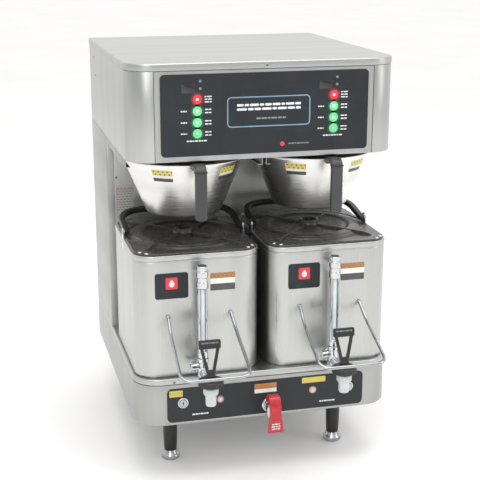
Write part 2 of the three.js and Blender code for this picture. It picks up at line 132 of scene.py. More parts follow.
def net(points, wrap_u=False, wrap_v=False, capped=False):
    """Quads between neighbouring points[u, v]. Its uv is the length run along
    each way in millimetres, so a grain keeps its scale over the whole piece."""
    points = np.asarray(points, float)
    nu, nv = points.shape[:2]
    u = np.arange(nu if wrap_u else nu - 1)[:, None]
    v = np.arange(nv if wrap_v else nv - 1)[None, :]
    u1, v1 = (u + 1) % nu, (v + 1) % nv
    corners = (u * nv + v, u1 * nv + v, u1 * nv + v1, u * nv + v1)
    quads = np.stack(np.broadcast_arrays(*corners), -1).reshape(-1, 4)
    run_u = np.linalg.norm(np.roll(points, -1, 0) - points, axis=-1).mean(1)
    run_v = np.linalg.norm(np.roll(points, -1, 1) - points, axis=-1).max(0)
    run_u, run_v = (np.concatenate([[0], np.cumsum(run)]) for run in (run_u, run_v))
    steps = ((u, v), (u + 1, v), (u + 1, v + 1), (u, v + 1))
    uv = [np.stack(np.broadcast_arrays(run_u[a], run_v[b]), -1) for a, b in steps]
    rings = [np.arange(nv), (nu - 1) * nv + np.arange(nv)] if capped else []
    return {
        "points": points.reshape(-1, 3),
        "quads": quads,
        "uv": np.stack(uv, -2).reshape(-1, 4, 2),
        "rings": rings,
    }


def on_axis(across, up, along, axis):
    """Two plan coordinates and a height, laid on the axis that the height follows."""
    order = {"z": (across, up, along), "y": (across, along, up), "x": (along, across, up)}
    return np.stack(np.broadcast_arrays(*order[axis]), -1)


def rounded(corners, radii, closed=True, steps=5):
    """A line through corners, each cut short by its radius on both sides and
    bridged by a quadratic curve whose control point is the corner."""
    corners = np.asarray(corners, float)
    radii = np.broadcast_to(np.asarray(radii, float), len(corners))[:, None]
    back, ahead = np.roll(corners, 1, 0) - corners, np.roll(corners, -1, 0) - corners
    lengths = [np.linalg.norm(way, axis=1, keepdims=True) for way in (back, ahead)]
    reach = [np.minimum(radii / np.maximum(length, 1e-9), 0.49) for length in lengths]
    if not closed:
        reach = [r * np.r_[0, np.ones(len(corners) - 2), 0][:, None] for r in reach]
    enter, leave = corners + back * reach[0], corners + ahead * reach[1]
    t = np.linspace(0, 1, steps)[None, :, None]
    curve = (1 - t) ** 2 * enter[:, None] + t**2 * leave[:, None]
    curve = (curve + 2 * t * (1 - t) * corners[:, None]).reshape(-1, corners.shape[1])
    apart = np.linalg.norm(curve - np.roll(curve, 1, 0), axis=1) > 1e-6
    apart[0] = True
    return curve[apart]


def corner_loop(area, radii, inset=0.0, steps=8):
    """A rectangle drawn in by inset, its four corners quarter circles, run
    anticlockwise from the low corner."""
    x0, x1, y0, y1 = area
    radii = np.maximum(np.broadcast_to(np.asarray(radii, float), 4) - inset, 0.02)
    centres = np.array(
        [
            [x0 + inset, y0 + inset], [x1 - inset, y0 + inset], [x1 - inset, y1 - inset],
            [x0 + inset, y1 - inset]
        ]
    ) + radii[:, None] * np.array([[1, 1], [-1, 1], [-1, -1], [1, -1]])
    angles = np.radians([180, 270, 0, 90])[:, None] + np.linspace(0, math.pi / 2, steps)
    arcs = np.stack([np.cos(angles), np.sin(angles)], -1) * radii[:, None, None]
    return (centres[:, None] + arcs).reshape(-1, 2)


def oblong(half_across, half_up, radius, steps=5):
    """A rectangle about its own middle, its corners rounded."""
    a, b = half_across, half_up
    return rounded([(-a, -b), (a, -b), (a, b), (-a, b)], radius, steps=steps)


def circle(radius, sides=16, tall=None):
    """Points round a circle, or an ellipse where tall is given."""
    angles = np.linspace(0, 2 * math.pi, sides, endpoint=False)
    return np.stack([np.cos(angles) * radius, np.sin(angles) * (tall or radius)], -1)


def edge_profile(low, high, under=0.6, over=0.6, steps=4):
    """(inset, height) pairs up a wall, with a quarter circle at each edge and a
    narrow level margin inside it."""
    turn = np.linspace(0, math.pi / 2, steps)
    lower = np.stack([under * (1 - np.sin(turn)), low + under * (1 - np.cos(turn))], -1)
    upper = np.stack([over * (1 - np.cos(turn)), high - over * (1 - np.sin(turn))], -1)
    return np.concatenate([[[under + 1.0, low]], lower, upper, [[over + 1.0, high]]])


def block(area, radii, profile, axis="z", steps=8):
    """A rounded rectangle carried up a profile of (inset, height), closed at both ends."""
    loops = np.stack([corner_loop(area, radii, inset, steps) for inset, _ in profile])
    heights = np.asarray(profile, float)[:, 1][:, None]
    return net(on_axis(loops[..., 0], loops[..., 1], heights, axis), wrap_v=True, capped=True)


def turned(profile, centre=(0, 0), axis="z", segments=72, arc=None, ripple=None):
    """A profile of (radius, height) turned about an axis through centre. ripple
    is (count, depth, low, high): waves round the rim between two heights."""
    profile = np.asarray(profile, float)
    if arc is None:
        angles = np.linspace(0, 2 * math.pi, segments, endpoint=False)
    else:
        angles = np.linspace(*np.radians(arc), segments)
    radius, height = profile[:, 0][:, None], profile[:, 1][:, None]
    angles = angles[None, :]
    if ripple:
        count, depth, low, high = ripple
        inside = (height > low) & (height < high)
        radius = radius - inside * depth * (0.5 - 0.5 * np.cos(angles * count))
    across, up = centre[0] + radius * np.cos(angles), centre[1] + radius * np.sin(angles)
    points = on_axis(across, up, height, axis)
    if arc is None:
        return net(points, wrap_u=bool(profile[0, 0] > 1e-6 or profile[-1, 0] > 1e-6), wrap_v=True)
    return net(points.transpose(1, 0, 2), wrap_v=True, capped=True)


def lathed(corners, centre=(0, 0), axis="z", segments=72, closed=False, steps=5, ripple=None):
    """A profile of (radius, height, rounding) corners turned about an axis."""
    corners = np.asarray(corners, float)
    profile = rounded(corners[:, :2], corners[:, 2], closed, steps)
    return turned(profile, centre, axis, segments, ripple=ripple)


def rod(radius, low, high, centre, axis="z", segments=72, bore=0.0):
    """A plain cylinder between two heights, hollow where it has a bore."""
    return turned([(bore, low), (radius, low), (radius, high), (bore, high)], centre, axis, segments)


def swept(path, section, normal, closed=False, wide=1.0, deep=1.0):
    """A section carried along a path. Its first way lies square to the path and
    the normal, and its second lies along the normal; wide scales the second and
    deep the first, point by point."""
    path, section = np.asarray(path, float), np.asarray(section, float)
    if closed:
        tangent = np.roll(path, -1, 0) - np.roll(path, 1, 0)
    else:
        tangent = np.gradient(path, axis=0)
    tangent /= np.linalg.norm(tangent, axis=1, keepdims=True)
    aside = np.cross(np.asarray(normal, float), tangent)
    aside /= np.linalg.norm(aside, axis=1, keepdims=True)
    lift = np.cross(tangent, aside)
    wide, deep = (np.broadcast_to(np.asarray(s, float), len(path))[:, None, None] for s in (wide, deep))
    points = path[:, None] + deep * section[None, :, :1] * aside[:, None]
    points = points + wide * section[None, :, 1:] * lift[:, None]
    return net(points, wrap_u=closed, wrap_v=True, capped=not closed)


def even(path, step=2.0):
    """The same line with its points spaced evenly, about step apart."""
    path = np.asarray(path, float)
    run = np.concatenate([[0], np.cumsum(np.linalg.norm(np.diff(path, axis=0), axis=1))])
    places = np.linspace(0, run[-1], max(3, int(run[-1] / step) + 1))
    return np.stack([np.interp(places, run, path[:, k]) for k in range(path.shape[1])], -1)


def cut_out(outline, low, high, axis):
    """A flat outline given thickness along an axis."""
    outline = np.asarray(outline, float)
    heights = np.array([[low], [high]])
    return net(on_axis(outline[None, :, 0], outline[None, :, 1], heights, axis), wrap_v=True, capped=True)


def wall(path, low, high, thick, closed=False, edge=0.4):
    """A sheet standing along a plan line that runs anticlockwise: a rectangle
    with eased edges, from the line inwards, carried along it."""
    section = corner_loop((0, thick, low, high), edge, steps=3)
    line = np.column_stack([path, np.zeros(len(path))])
    return swept(line, section, (0, 0, 1), closed)


def leaned(surface, degrees, pivot):
    """The surface turned about an X axis through pivot (y, z)."""
    c, s = math.cos(math.radians(degrees)), math.sin(math.radians(degrees))
    y, z = surface["points"][:, 1] - pivot[0], surface["points"][:, 2] - pivot[1]
    moved = np.stack([surface["points"][:, 0], pivot[0] + c * y - s * z, pivot[1] + s * y + c * z], -1)
    return {**surface, "points": moved}


def shifted(surface, dx, dy=0.0, dz=0.0):
    """The surface moved without turning."""
    return {**surface, "points": surface["points"] + np.array([dx, dy, dz])}


def make(name, surface, finish, body, stands_for=(), bevel=0.0, crease=33.0):
    """Puts a surface into a mesh, in metres in the row frame: doubles merged,
    faces turned outwards, edges sharper than crease left sharp."""
    points = surface["points"] * 0.001 + np.array([0.0, FRONT, 0.0])
    quads, rings = surface["quads"], surface["rings"]
    mesh = bpy.data.meshes.new(name)
    mesh.from_pydata(points.tolist(), [], quads.tolist() + [ring.tolist() for ring in rings])
    flat = [surface["points"][ring][:, [0, 2]] for ring in rings]
    uv = np.concatenate([surface["uv"].reshape(-1, 2), *flat]) * 0.001
    mesh.uv_layers.new(name="grain").data.foreach_set("uv", uv.astype(np.float32).ravel())
    shape = bmesh.new()
    shape.from_mesh(mesh)
    bmesh.ops.remove_doubles(shape, verts=shape.verts, dist=2e-6)
    bmesh.ops.recalc_face_normals(shape, faces=shape.faces)
    shape.to_mesh(mesh)
    shape.free()
    mesh.polygons.foreach_set("use_smooth", np.ones(len(mesh.polygons), bool))
    mesh.set_sharp_from_angle(angle=math.radians(crease))
    mesh.materials.append(bpy.data.materials[finish])
    piece = bpy.data.objects.new(name, mesh)
    bpy.context.scene.collection.objects.link(piece)
    if bevel:
        soften = piece.modifiers.new("eased edges", "BEVEL")
        soften.width = bevel * 0.001
        soften.segments = 3
        soften.limit_method = "ANGLE"
        soften.angle_limit = math.radians(35)
        soften.harden_normals = True
    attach(piece, body)
    if stands_for:
        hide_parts(*stands_for)
    return piece


def dress(finish, *names):
    """Gives CAD nodes that stay in sight their finish."""
    for name in names:
        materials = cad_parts[name].data.materials
        materials.clear()
        materials.append(bpy.data.materials[finish])


# ---- materials -------------------------------------------------------------------
def tint(red, green, blue):
    """A colour given on the usual 0 to 255 scale, as linear light."""
    value = np.array([red, green, blue]) / 255
    light = np.where(value <= 0.04045, value / 12.92, ((value + 0.055) / 1.055) ** 2.4)
    return tuple(float(part) for part in light)


def put(tree, kind, inputs=None, **settings):
    """Adds a node. An input is a number or colour, or another node's socket."""
    made = tree.nodes.new("ShaderNode" + kind)
    for key, value in settings.items():
        setattr(made, key, value)
    for key, value in (inputs or {}).items():
        if isinstance(value, bpy.types.NodeSocket):
            tree.links.new(value, made.inputs[key])
        else:
            made.inputs[key].default_value = value
    return made


def start(name, metallic, space="Object", **sockets):
    """A new material, its shader with constants set, and its place socket."""
    material = bpy.data.materials.new(name)
    material.use_nodes = True
    tree = material.node_tree
    shader = tree.nodes["Principled BSDF"]
    shader.inputs["Metallic"].default_value = metallic
    for key, value in sockets.items():
        shader.inputs[key.replace("_", " ")].default_value = value
    place = put(tree, "TexCoord").outputs[space]
    return tree, shader, place


def noise(tree, place, scale, detail=3.0, at=(0, 0, 0), rough=0.55):
    """Noise whose grain is scale, one number a way, in cells to the metre."""
    moved = put(tree, "Mapping", {"Vector": place, "Location": at, "Scale": scale})
    inputs = {"Vector": moved.outputs[0], "Scale": 1.0, "Detail": detail, "Roughness": rough}
    return put(tree, "TexNoise", inputs).outputs[0]


def spread(tree, value, low, high, first=0.3, last=0.7):
    """Stretches a value's range from first..last to low..high."""
    inputs = {"Value": value, "From Min": first, "From Max": last, "To Min": low, "To Max": high}
    return put(tree, "MapRange", inputs).outputs[0]


def between(tree, share, first, second):
    """A colour part way from first to second."""
    mix = put(tree, "Mix", data_type="RGBA")
    for index, value in ((0, share), (6, first), (7, second)):
        if isinstance(value, bpy.types.NodeSocket):
            tree.links.new(value, mix.inputs[index])
        else:
            mix.inputs[index].default_value = value if index == 0 else (*value[:3], 1)
    return mix.outputs[2]


def relief(tree, shader, height, depth, strength=1.0):
    """Raises the surface by height, up to depth millimetres."""
    inputs = {"Height": height, "Distance": depth * 0.001, "Strength": strength}
    tree.links.new(put(tree, "Bump", inputs).outputs[0], shader.inputs["Normal"])


def sums(tree, first, second, share):
    """first plus a share of second."""
    return put(tree, "Math", {0: second, 1: share, 2: first}, operation="MULTIPLY_ADD").outputs[0]


def shade(colour, factor):
    """A colour made lighter or darker by a factor."""
    return tuple(min(1.0, part * factor) for part in colour[:3])


def brushed_steel(name, colour, scale, rough, contrast=0.1, depth=0.012, space="Object", **sockets):
    """Steel rubbed one way: long thin streaks in tone, gloss and height, with
    slow clouds from handling, faint wiped smears and broad soft bands."""
    tree, shader, place = start(name, 1.0, space, **sockets)
    streak = noise(tree, place, scale, 4.0)
    broad = noise(tree, place, tuple(part * 0.16 for part in scale), 2.0, (3, 7, 1))
    cloud = noise(tree, place, (7, 7, 7), 3.0, (5, 1, 2))
    band = noise(tree, place, tuple(part * 0.016 for part in scale), 1.0, (9, 2, 4))
    grain = sums(tree, streak, broad, 0.6)
    tone = spread(tree, sums(tree, grain, cloud, 0.5), 0.0, 1.0, 0.7, 1.4)
    fine = between(tree, tone, shade(colour, 1 - contrast), shade(colour, 1 + contrast))
    body = between(tree, spread(tree, band, 0.0, 0.2, 0.45, 0.7), fine, shade(colour, 0.55))
    tree.links.new(body, shader.inputs["Base Color"])
    worn = sums(tree, spread(tree, grain, rough - 0.05, rough + 0.06, 0.5, 1.1), cloud, 0.08)
    tree.links.new(worn, shader.inputs["Roughness"])
    relief(tree, shader, streak, depth, 0.6)


def bright_metal(name, colour, rough, **sockets):
    """Plated or polished metal with handling smears and shallow ripples."""
    tree, shader, place = start(name, 1.0, **sockets)
    smear = noise(tree, place, (60, 60, 35), 4.0)
    fine = noise(tree, place, (900, 900, 900), 2.0, (2, 9, 4))
    body = between(tree, spread(tree, smear, 0.0, 1.0), shade(colour, 0.9), shade(colour, 1.05))
    tree.links.new(body, shader.inputs["Base Color"])
    gloss = spread(tree, sums(tree, smear, fine, 0.4), rough * 0.6, rough * 1.8, 0.4, 1.0)
    tree.links.new(gloss, shader.inputs["Roughness"])
    relief(tree, shader, smear, 0.02, 0.4)


def moulded(name, colour, rough, grain=1500.0, depth=0.01, wear=0.25, **sockets):
    """Moulded plastic or paint: a fine pebble, slow tone and gloss changes, and
    paler rubbed patches."""
    tree, shader, place = start(name, 0.0, **sockets)
    pebble = noise(tree, place, (grain,) * 3, 2.0)
    patch = noise(tree, place, (26, 26, 26), 4.0, (4, 4, 8))
    scuff = spread(tree, noise(tree, place, (140, 45, 90), 5.0, (1, 6, 3), 0.7), 0.0, wear, 0.56, 0.75)
    dark = between(tree, spread(tree, patch, 0.0, 1.0), shade(colour, 0.88), shade(colour, 1.12))
    pale = tuple(part * 0.6 + 0.12 for part in colour[:3])
    tree.links.new(between(tree, scuff, dark, pale), shader.inputs["Base Color"])
    tree.links.new(
        sums(tree, spread(tree, patch, rough - 0.06, rough + 0.08), scuff, 0.3), shader.inputs["Roughness"]
    )
    relief(tree, shader, pebble, depth, 0.5)


def printed(name, low, size, bands, dashes=None, rough=0.4):
    """A printed sticker over the rectangle from low (x, z), size across, in
    metres. bands are (height share, colour) from the foot up; dashes is
    (columns, rows, colour, first, last), short broken lines of ink."""
    tree, shader, place = start(name, 0.0, Coat_Weight=0.2)
    corner = (-low[0] / size[0], 0, -low[1] / size[1])
    scale = (1 / size[0], 1, 1 / size[1])
    moved = put(tree, "Mapping", {"Vector": place, "Location": corner, "Scale": scale}).outputs[0]
    parts = put(tree, "SeparateXYZ", {0: moved})
    ramp = put(tree, "ValToRGB", {0: parts.outputs[2]})
    ramp.color_ramp.interpolation = "CONSTANT"
    for index, (share, colour) in enumerate(bands):
        stop = ramp.color_ramp.elements[0] if index == 0 else ramp.color_ramp.elements.new(share)
        stop.position, stop.color = share, (*colour, 1)
    ramp.color_ramp.elements.remove(ramp.color_ramp.elements[-1])
    ink = ramp.outputs[0]
    if dashes:
        columns, rows, colour, first, last = dashes
        flat = put(tree, "CombineXYZ", {0: parts.outputs[0], 1: parts.outputs[2]}).outputs[0]
        brick = put(
            tree, "TexBrick", {"Vector": flat, "Scale": 1.0, "Color1": (1, 1, 1, 1), "Color2": (1, 1, 1, 1)}
        )
        for key, value in (("Mortar", (0, 0, 0, 1)), ("Mortar Size", 0.32 / rows), ("Mortar Smooth", 0.3)):
            brick.inputs[key].default_value = value
        brick.inputs["Brick Width"].default_value = 1 / columns
        brick.inputs["Row Height"].default_value = 1 / rows
        above = put(tree, "Math", {0: parts.outputs[2], 1: first}, operation="GREATER_THAN").outputs[0]
        below = put(tree, "Math", {0: parts.outputs[2], 1: last}, operation="LESS_THAN").outputs[0]
        where = put(tree, "Math", {0: above, 1: below}, operation="MULTIPLY").outputs[0]
        share = put(tree, "Math", {0: brick.outputs[0], 1: where}, operation="MULTIPLY").outputs[0]
        ink = between(tree, share, ink, colour)
    faded = noise(tree, place, (300, 300, 300), 3.0)
    tree.links.new(
        between(tree, spread(tree, faded, 0.0, 0.12), ink, (0.5, 0.5, 0.48)), shader.inputs["Base Color"]
    )
    tree.links.new(spread(tree, faded, rough - 0.08, rough + 0.1), shader.inputs["Roughness"])
    relief(tree, shader, faded, 0.01, 0.3)
    return name


# ---- settings --------------------------------------------------------------------
def colour_setting(name, description, default):
    """A colour property from 0 to 1."""
    return FloatVectorProperty(
        name=name, description=description, default=default, subtype="COLOR", min=0.0, max=1.0, size=3
    )


def size_setting(name, description, millimetres, least=0.0, most=50.0):
    """A length property, given here in millimetres."""
    return FloatProperty(
        name=name,
        description=description,
        default=millimetres * 0.001,
        min=least * 0.001,
        max=most * 0.001,
        unit="LENGTH",
        subtype="DISTANCE",
        precision=4,
    )


class BrewerSizes(bpy.types.PropertyGroup):
    """Small sizes that the frame leaves open."""

    seam: size_setting("Panel seam", "Gap between neighbouring steel panels", 0.9, 0.2, 3)
    top_edge: size_setting("Top edge", "Radius of the top cover's folded edge", 3.2, 0.5, 6)
    deck_edge: size_setting("Deck edge", "Radius of the deck's front lip", 3.0, 0.5, 5)
    rim: size_setting("Shuttle rim", "Height of the rolled rim on a shuttle", 12.5, 4, 25)
    bail_width: size_setting("Bail width", "Thickness of the carrying bail's strap", 12.0, 6, 13)
    bail_depth: size_setting("Bail depth", "Breadth of the carrying bail's strap", 12.0, 5, 13)
    wire: size_setting("Guard wire", "Diameter of the faucet guard's wire", 6.4, 4, 6.6)
    key_dome: size_setting("Key dome", "How far a key's middle stands proud of its rim", 0.45, 0, 0.8)


class BrewerColours(bpy.types.PropertyGroup):
    """Colours of the finishes."""

    steel: colour_setting("Steel", "Brushed stainless panels", tint(183, 184, 181))
    polished: colour_setting("Polished steel", "Baskets and liners", tint(226, 226, 223))
    chrome: colour_setting("Chrome", "Plated fittings and wire", tint(204, 206, 208))
    film: colour_setting("Panel film", "Printed control films", tint(31, 36, 39))
    black: colour_setting("Black plastic", "Covers, bails and faucet parts", tint(32, 31, 30))
    handle: colour_setting("Grey handle", "Brew basket handles", tint(62, 62, 63))
    leg: colour_setting("Leg", "Legs under the base", tint(30, 25, 24))
    red: colour_setting("Red lever", "Hot-water lever", tint(178, 30, 38))
    red_key: colour_setting("Red key", "Stop keys", tint(224, 48, 62))
    green_key: colour_setting("Green key", "Batch keys", tint(108, 214, 142))


# ---- finishes --------------------------------------------------------------------
class BREWER_OT_finishes(bpy.types.Operator):
    """Makes every finish: brushed steels, bright fittings, plastics and films"""

    bl_idname = "brewer.finishes"
    bl_label = "Finishes"

    def execute(self, context):
        c = context.scene.brewer_colours
        upright, across = (1100, 1100, 7), (7, 1100, 1100)
        brushed_steel("upright steel", c.steel, upright, 0.3, 0.06, Anisotropic=0.4)
        # Side steel is the same steel painted darker: painted shade on the walls that face away from the
        # light.
        brushed_steel("side steel painted shade", shade(c.steel, 0.88), (1100, 6, 1100), 0.33, 0.06)
        # Base steel is the same steel painted darker: painted shade on the low base.
        brushed_steel("base steel painted shade", shade(c.steel, 0.84), upright, 0.3, 0.06, Anisotropic=0.4)
        brushed_steel("level steel", c.steel, across, 0.34, 0.06)
        brushed_steel("shuttle steel", shade(c.steel, 1.08), upright, 0.26, 0.04, 0.001, Anisotropic=0.4)
        # Splash steel is the same steel painted lighter: painted light on the panel that sits shaded under
        # the hood.
        brushed_steel("splash steel painted light", shade(c.steel, 1.25), upright, 0.34, 0.09)
        # Inner steel is the same steel painted darker: painted shade inside the shuttles and under the hood.
        brushed_steel("inner steel painted shade", shade(c.steel, 0.8), upright, 0.42, 0.15)
        brushed_steel("spun steel", c.polished, (1500, 12, 1), 0.25, 0.02, 0.0008, "UV")
        bright_metal("chrome", c.chrome, 0.07)
        bright_metal("bright wire", shade(c.chrome, 0.72), 0.17)
        bright_metal("screw steel", shade(c.steel, 0.7), 0.25)
        bright_metal("brass", tint(196, 160, 88), 0.22)
        bright_metal("dark metal", tint(70, 68, 66), 0.4)
        moulded("panel film", c.film, 0.42, 2600, 0.006, 0.05, Specular_IOR_Level=0.4)
        moulded("black plastic", c.black, 0.34, 1700, 0.014, 0.1, Specular_IOR_Level=0.55)
        # Cover plastic is the covers' black plastic painted lighter: painted sheen and light on a glossy
        # plate that sits shaded under the hood.
        moulded("cover plastic painted sheen", tint(60, 58, 56), 0.27, 900, 0.02, 0.04, Specular_IOR_Level=0.6)
        moulded("grey handle", c.handle, 0.42, 1500, 0.014, 0.06)
        moulded("leg plastic", c.leg, 0.36, 1200, 0.016, 0.08)
        moulded("red plastic", c.red, 0.26, 1400, 0.01, 0.03, Coat_Weight=0.3)
        moulded("red key", c.red_key, 0.35, 2200, 0.006, 0.03, Coat_Weight=0.25)
        moulded("green key", c.green_key, 0.35, 2200, 0.006, 0.03, Coat_Weight=0.25)
        moulded("green surround", tint(26, 84, 48), 0.45, 2200, 0.006, 0.04)
        moulded("red surround", tint(112, 34, 40), 0.45, 2200, 0.006, 0.04)
        moulded("pale print", tint(214, 218, 220), 0.5, 2600, 0.004, 0.04)
        moulded("dim print", tint(122, 130, 134), 0.5, 2600, 0.004, 0.04)
        moulded("dark window", tint(34, 32, 35), 0.16, 900, 0.004, 0.02, Coat_Weight=0.6)
        moulded("blue print", tint(122, 150, 176), 0.42, 2600, 0.004, 0.05)
        moulded("milky plastic", tint(192, 197, 199), 0.24, 900, 0.008, 0.03, Coat_Weight=0.4)
        moulded("gauge glass", tint(206, 212, 216), 0.06, 200, 0.004, 0.02, Coat_Weight=1.0)
        moulded("warm lamp", tint(184, 146, 108), 0.2, 500, 0.006, 0.02, Coat_Weight=0.8)
        moulded("rose lamp", tint(168, 106, 104), 0.2, 500, 0.006, 0.02, Coat_Weight=0.8)
        # Dark gap colours the switch marks and stands as painted shade in the screw slots and the covers'
        # hub mouths.
        moulded("dark mark and painted shade", tint(16, 16, 17), 0.7, 1200, 0.02, 0.02)
        moulded("board green", tint(30, 86, 52), 0.4, 800, 0.03, 0.1)
        dress("level steel", "hood_floor")
        # The splash panel takes the steel painted lighter, as painted light under the hood.
        dress("splash steel painted light", "splash_panel")
        dress("panel film", "base_overlay", "control_overlay")
        dress("spun steel", "water_tank")
        dress("dark metal", "tank_heater", "warmer_element_left", "warmer_element_right")
        dress("board green", "control_board")
        # Liners and spray heads take the inner steel painted darker, as painted shade.
        dress(
            "inner steel painted shade", "shuttle_liner_left", "shuttle_liner_right", "spray_head_left",
            "spray_head_right"
        )
        return {"FINISHED"}


# ---- stage -----------------------------------------------------------------------
def soft_light(name, place, aim, size, power, colour):
    """An area light at place, turned to face aim, both in metres."""
    lamp = bpy.data.lights.new(name, "AREA")
    lamp.shape, lamp.size, lamp.size_y = "RECTANGLE", size[0], size[1]
    lamp.energy, lamp.color = power, colour
    holder = bpy.data.objects.new(name, lamp)
    bpy.context.scene.collection.objects.link(holder)
    holder.location = place
    way = np.asarray(place, float) - np.asarray(aim, float)
    length = float(np.linalg.norm(way))
    holder.rotation_euler = (math.acos(way[2] / length), 0, math.atan2(way[0], -way[1]))


def studio_world(scene):
    """The surroundings that metal mirrors: grey in front, white behind and above,
    and a little darker towards the far left."""
    world = bpy.data.worlds.new("studio")
    scene.world = world
    world.use_nodes = True
    sky = world.node_tree
    way = put(sky, "TexCoord").outputs["Generated"]
    parts = put(sky, "SeparateXYZ", {0: way})
    behind = spread(sky, parts.outputs[1], 0.0, 1.0, -0.9, 0.6)
    above = spread(sky, parts.outputs[2], 0.0, 1.0, 0.1, 0.7)
    bright = put(sky, "Math", {0: behind, 1: above}, operation="MAXIMUM").outputs[0]
    flagged = spread(sky, parts.outputs[0], 0.8, 1.0, -0.95, -0.45)
    bright = put(sky, "Math", {0: bright, 1: flagged}, operation="MULTIPLY").outputs[0]
    back = between(sky, bright, (0.36, 0.37, 0.39), (1.0, 1.0, 1.0))
    background = sky.nodes["Background"]
    sky.links.new(back, background.inputs["Color"])
    background.inputs["Strength"].default_value = 1.16


class BREWER_OT_stage(bpy.types.Operator):
    """Sets the pale floor, the soft studio light and the camera"""

    bl_idname = "brewer.stage"
    bl_label = "Stage"

    def execute(self, context):
        scene = context.scene
        scene.view_settings.view_transform = "Standard"
        tree, shader, place = start("pale floor", 0.0, Specular_IOR_Level=0.2)
        cloud = noise(tree, place, (1.3, 1.3, 1.3), 2.0)
        tone = between(tree, spread(tree, cloud, 0.0, 1.0), tint(243, 242, 241), tint(247, 246, 245))
        tree.links.new(tone, shader.inputs["Base Color"])
        tree.links.new(spread(tree, cloud, 0.62, 0.74), shader.inputs["Roughness"])
        floor = bpy.data.meshes.new("floor")
        rim = circle(60.0, 96)
        points = np.column_stack([rim, np.full(len(rim), -0.0002)])
        floor.from_pydata(points.tolist(), [], [list(range(len(rim)))])
        floor.materials.append(bpy.data.materials["pale floor"])
        ground = bpy.data.objects.new("floor", floor)
        scene.collection.objects.link(ground)
        studio_world(scene)
        soft_light("front softbox", (-1.1, -2.8, 1.9), (0, 0, 0.45), (1.2, 1.8), 22, (0.97, 0.98, 1.0))
        soft_light("right softbox", (2.4, -1.6, 1.5), (0, 0, 0.4), (0.9, 2.0), 14, (1.0, 0.99, 0.97))
        soft_light("overhead softbox", (0.1, -0.5, 2.9), (0, 0, 0.3), (2.2, 1.6), 32, (1.0, 1.0, 1.0))
        camera = bpy.data.objects.new("camera", bpy.data.cameras.new("camera"))
        scene.collection.objects.link(camera)
        camera.data.sensor_width, camera.data.lens = 36, LENS
        camera.location = (CAMERA_PLACE[0], FRONT + CAMERA_PLACE[1], CAMERA_PLACE[2])
        camera.rotation_euler = (math.radians(90 - LOOK_DOWN), 0, math.radians(-LOOK_RIGHT))
        scene.camera = camera
        return {"FINISHED"}


# ---- small parts that repeat -----------------------------------------------------
def screw(x, y, z, facing, radius=3.4, tall=1.9):
    """A low domed screw head with a cross slot, facing -y, +y, +x, -x or z."""
    sign = tall / 1.9 * (-1 if facing in ("-y", "-x") else 1)
    dome = [(0, 1.9), (radius * 0.5, 1.75), (radius * 0.85, 1.15), (radius, 0.35), (radius, 0), (0, 0)]
    profile = rounded(dome, [0, 1, 1, 0.2, 0, 0], closed=False, steps=3)
    base = {"y": (x, z, y), "x": (y, z, x), "z": (x, y, z)}[facing[-1]]
    profile = np.stack([profile[:, 0], base[2] + sign * profile[:, 1]], -1)
    head = turned(profile, base[:2], facing[-1], 24)
    slots = []
    # Each cross slot is a dark block set into the dome: painted shade where a real slot is hollow.
    for half_a, half_b in ((radius * 0.62, 0.45), (0.45, radius * 0.62)):
        area = (base[0] - half_a, base[0] + half_a, base[1] - half_b, base[1] + half_b)
        low, high = sorted((base[2] + sign * 1.0, base[2] + sign * 2.02))
        slots.append(block(area, 0.3, [(0, low), (0, high)], facing[-1], 3))
    return head, join(*slots)


def screws(name, places, body, radius=3.4, tall=1.9):
    """A set of screw heads and, as a second piece, their slots filled dark as painted shade."""
    pairs = [screw(*place, radius, tall) for place in places]
    make(name, join(*(head for head, _ in pairs)), "screw steel", body)
    make(name + "_slots", join(*(slot for _, slot in pairs)), "dark mark and painted shade", body)


def sided_nut(x, z, radius, low, high, sides=6):
    """A nut about a Y axis: even points round a circle, given thickness."""
    angles = np.radians(np.arange(sides) * 360 / sides + 30)
    outline = np.column_stack([x + radius * np.cos(angles), z + radius * np.sin(angles)])
    return cut_out(outline, low, high, "y")


def marks(rows, face, thick=0.12):
    """Short bars of print standing on a front face: rows are (x0, x1, z, height)."""
    bars = []
    for x0, x1, z, height in rows:
        area = (x0, x1, z - height / 2, z + height / 2)
        bars.append(block(area, height * 0.3, [(0, face - thick), (0, face)], "y", 3))
    return join(*bars)


def dashes(x0, x1, z, height, count, seed=0):
    """Bars of uneven length across x0..x1, as lines of small print look from afar."""
    wide = 1.0 + 0.35 * np.sin(np.arange(count) * 2.4 + seed)
    edges = x0 + np.concatenate([[0], np.cumsum(wide)]) / wide.sum() * (x1 - x0)
    return [(a, b - (x1 - x0) * 0.1 / count - 0.35, z, height) for a, b in zip(edges[:-1], edges[1:])]


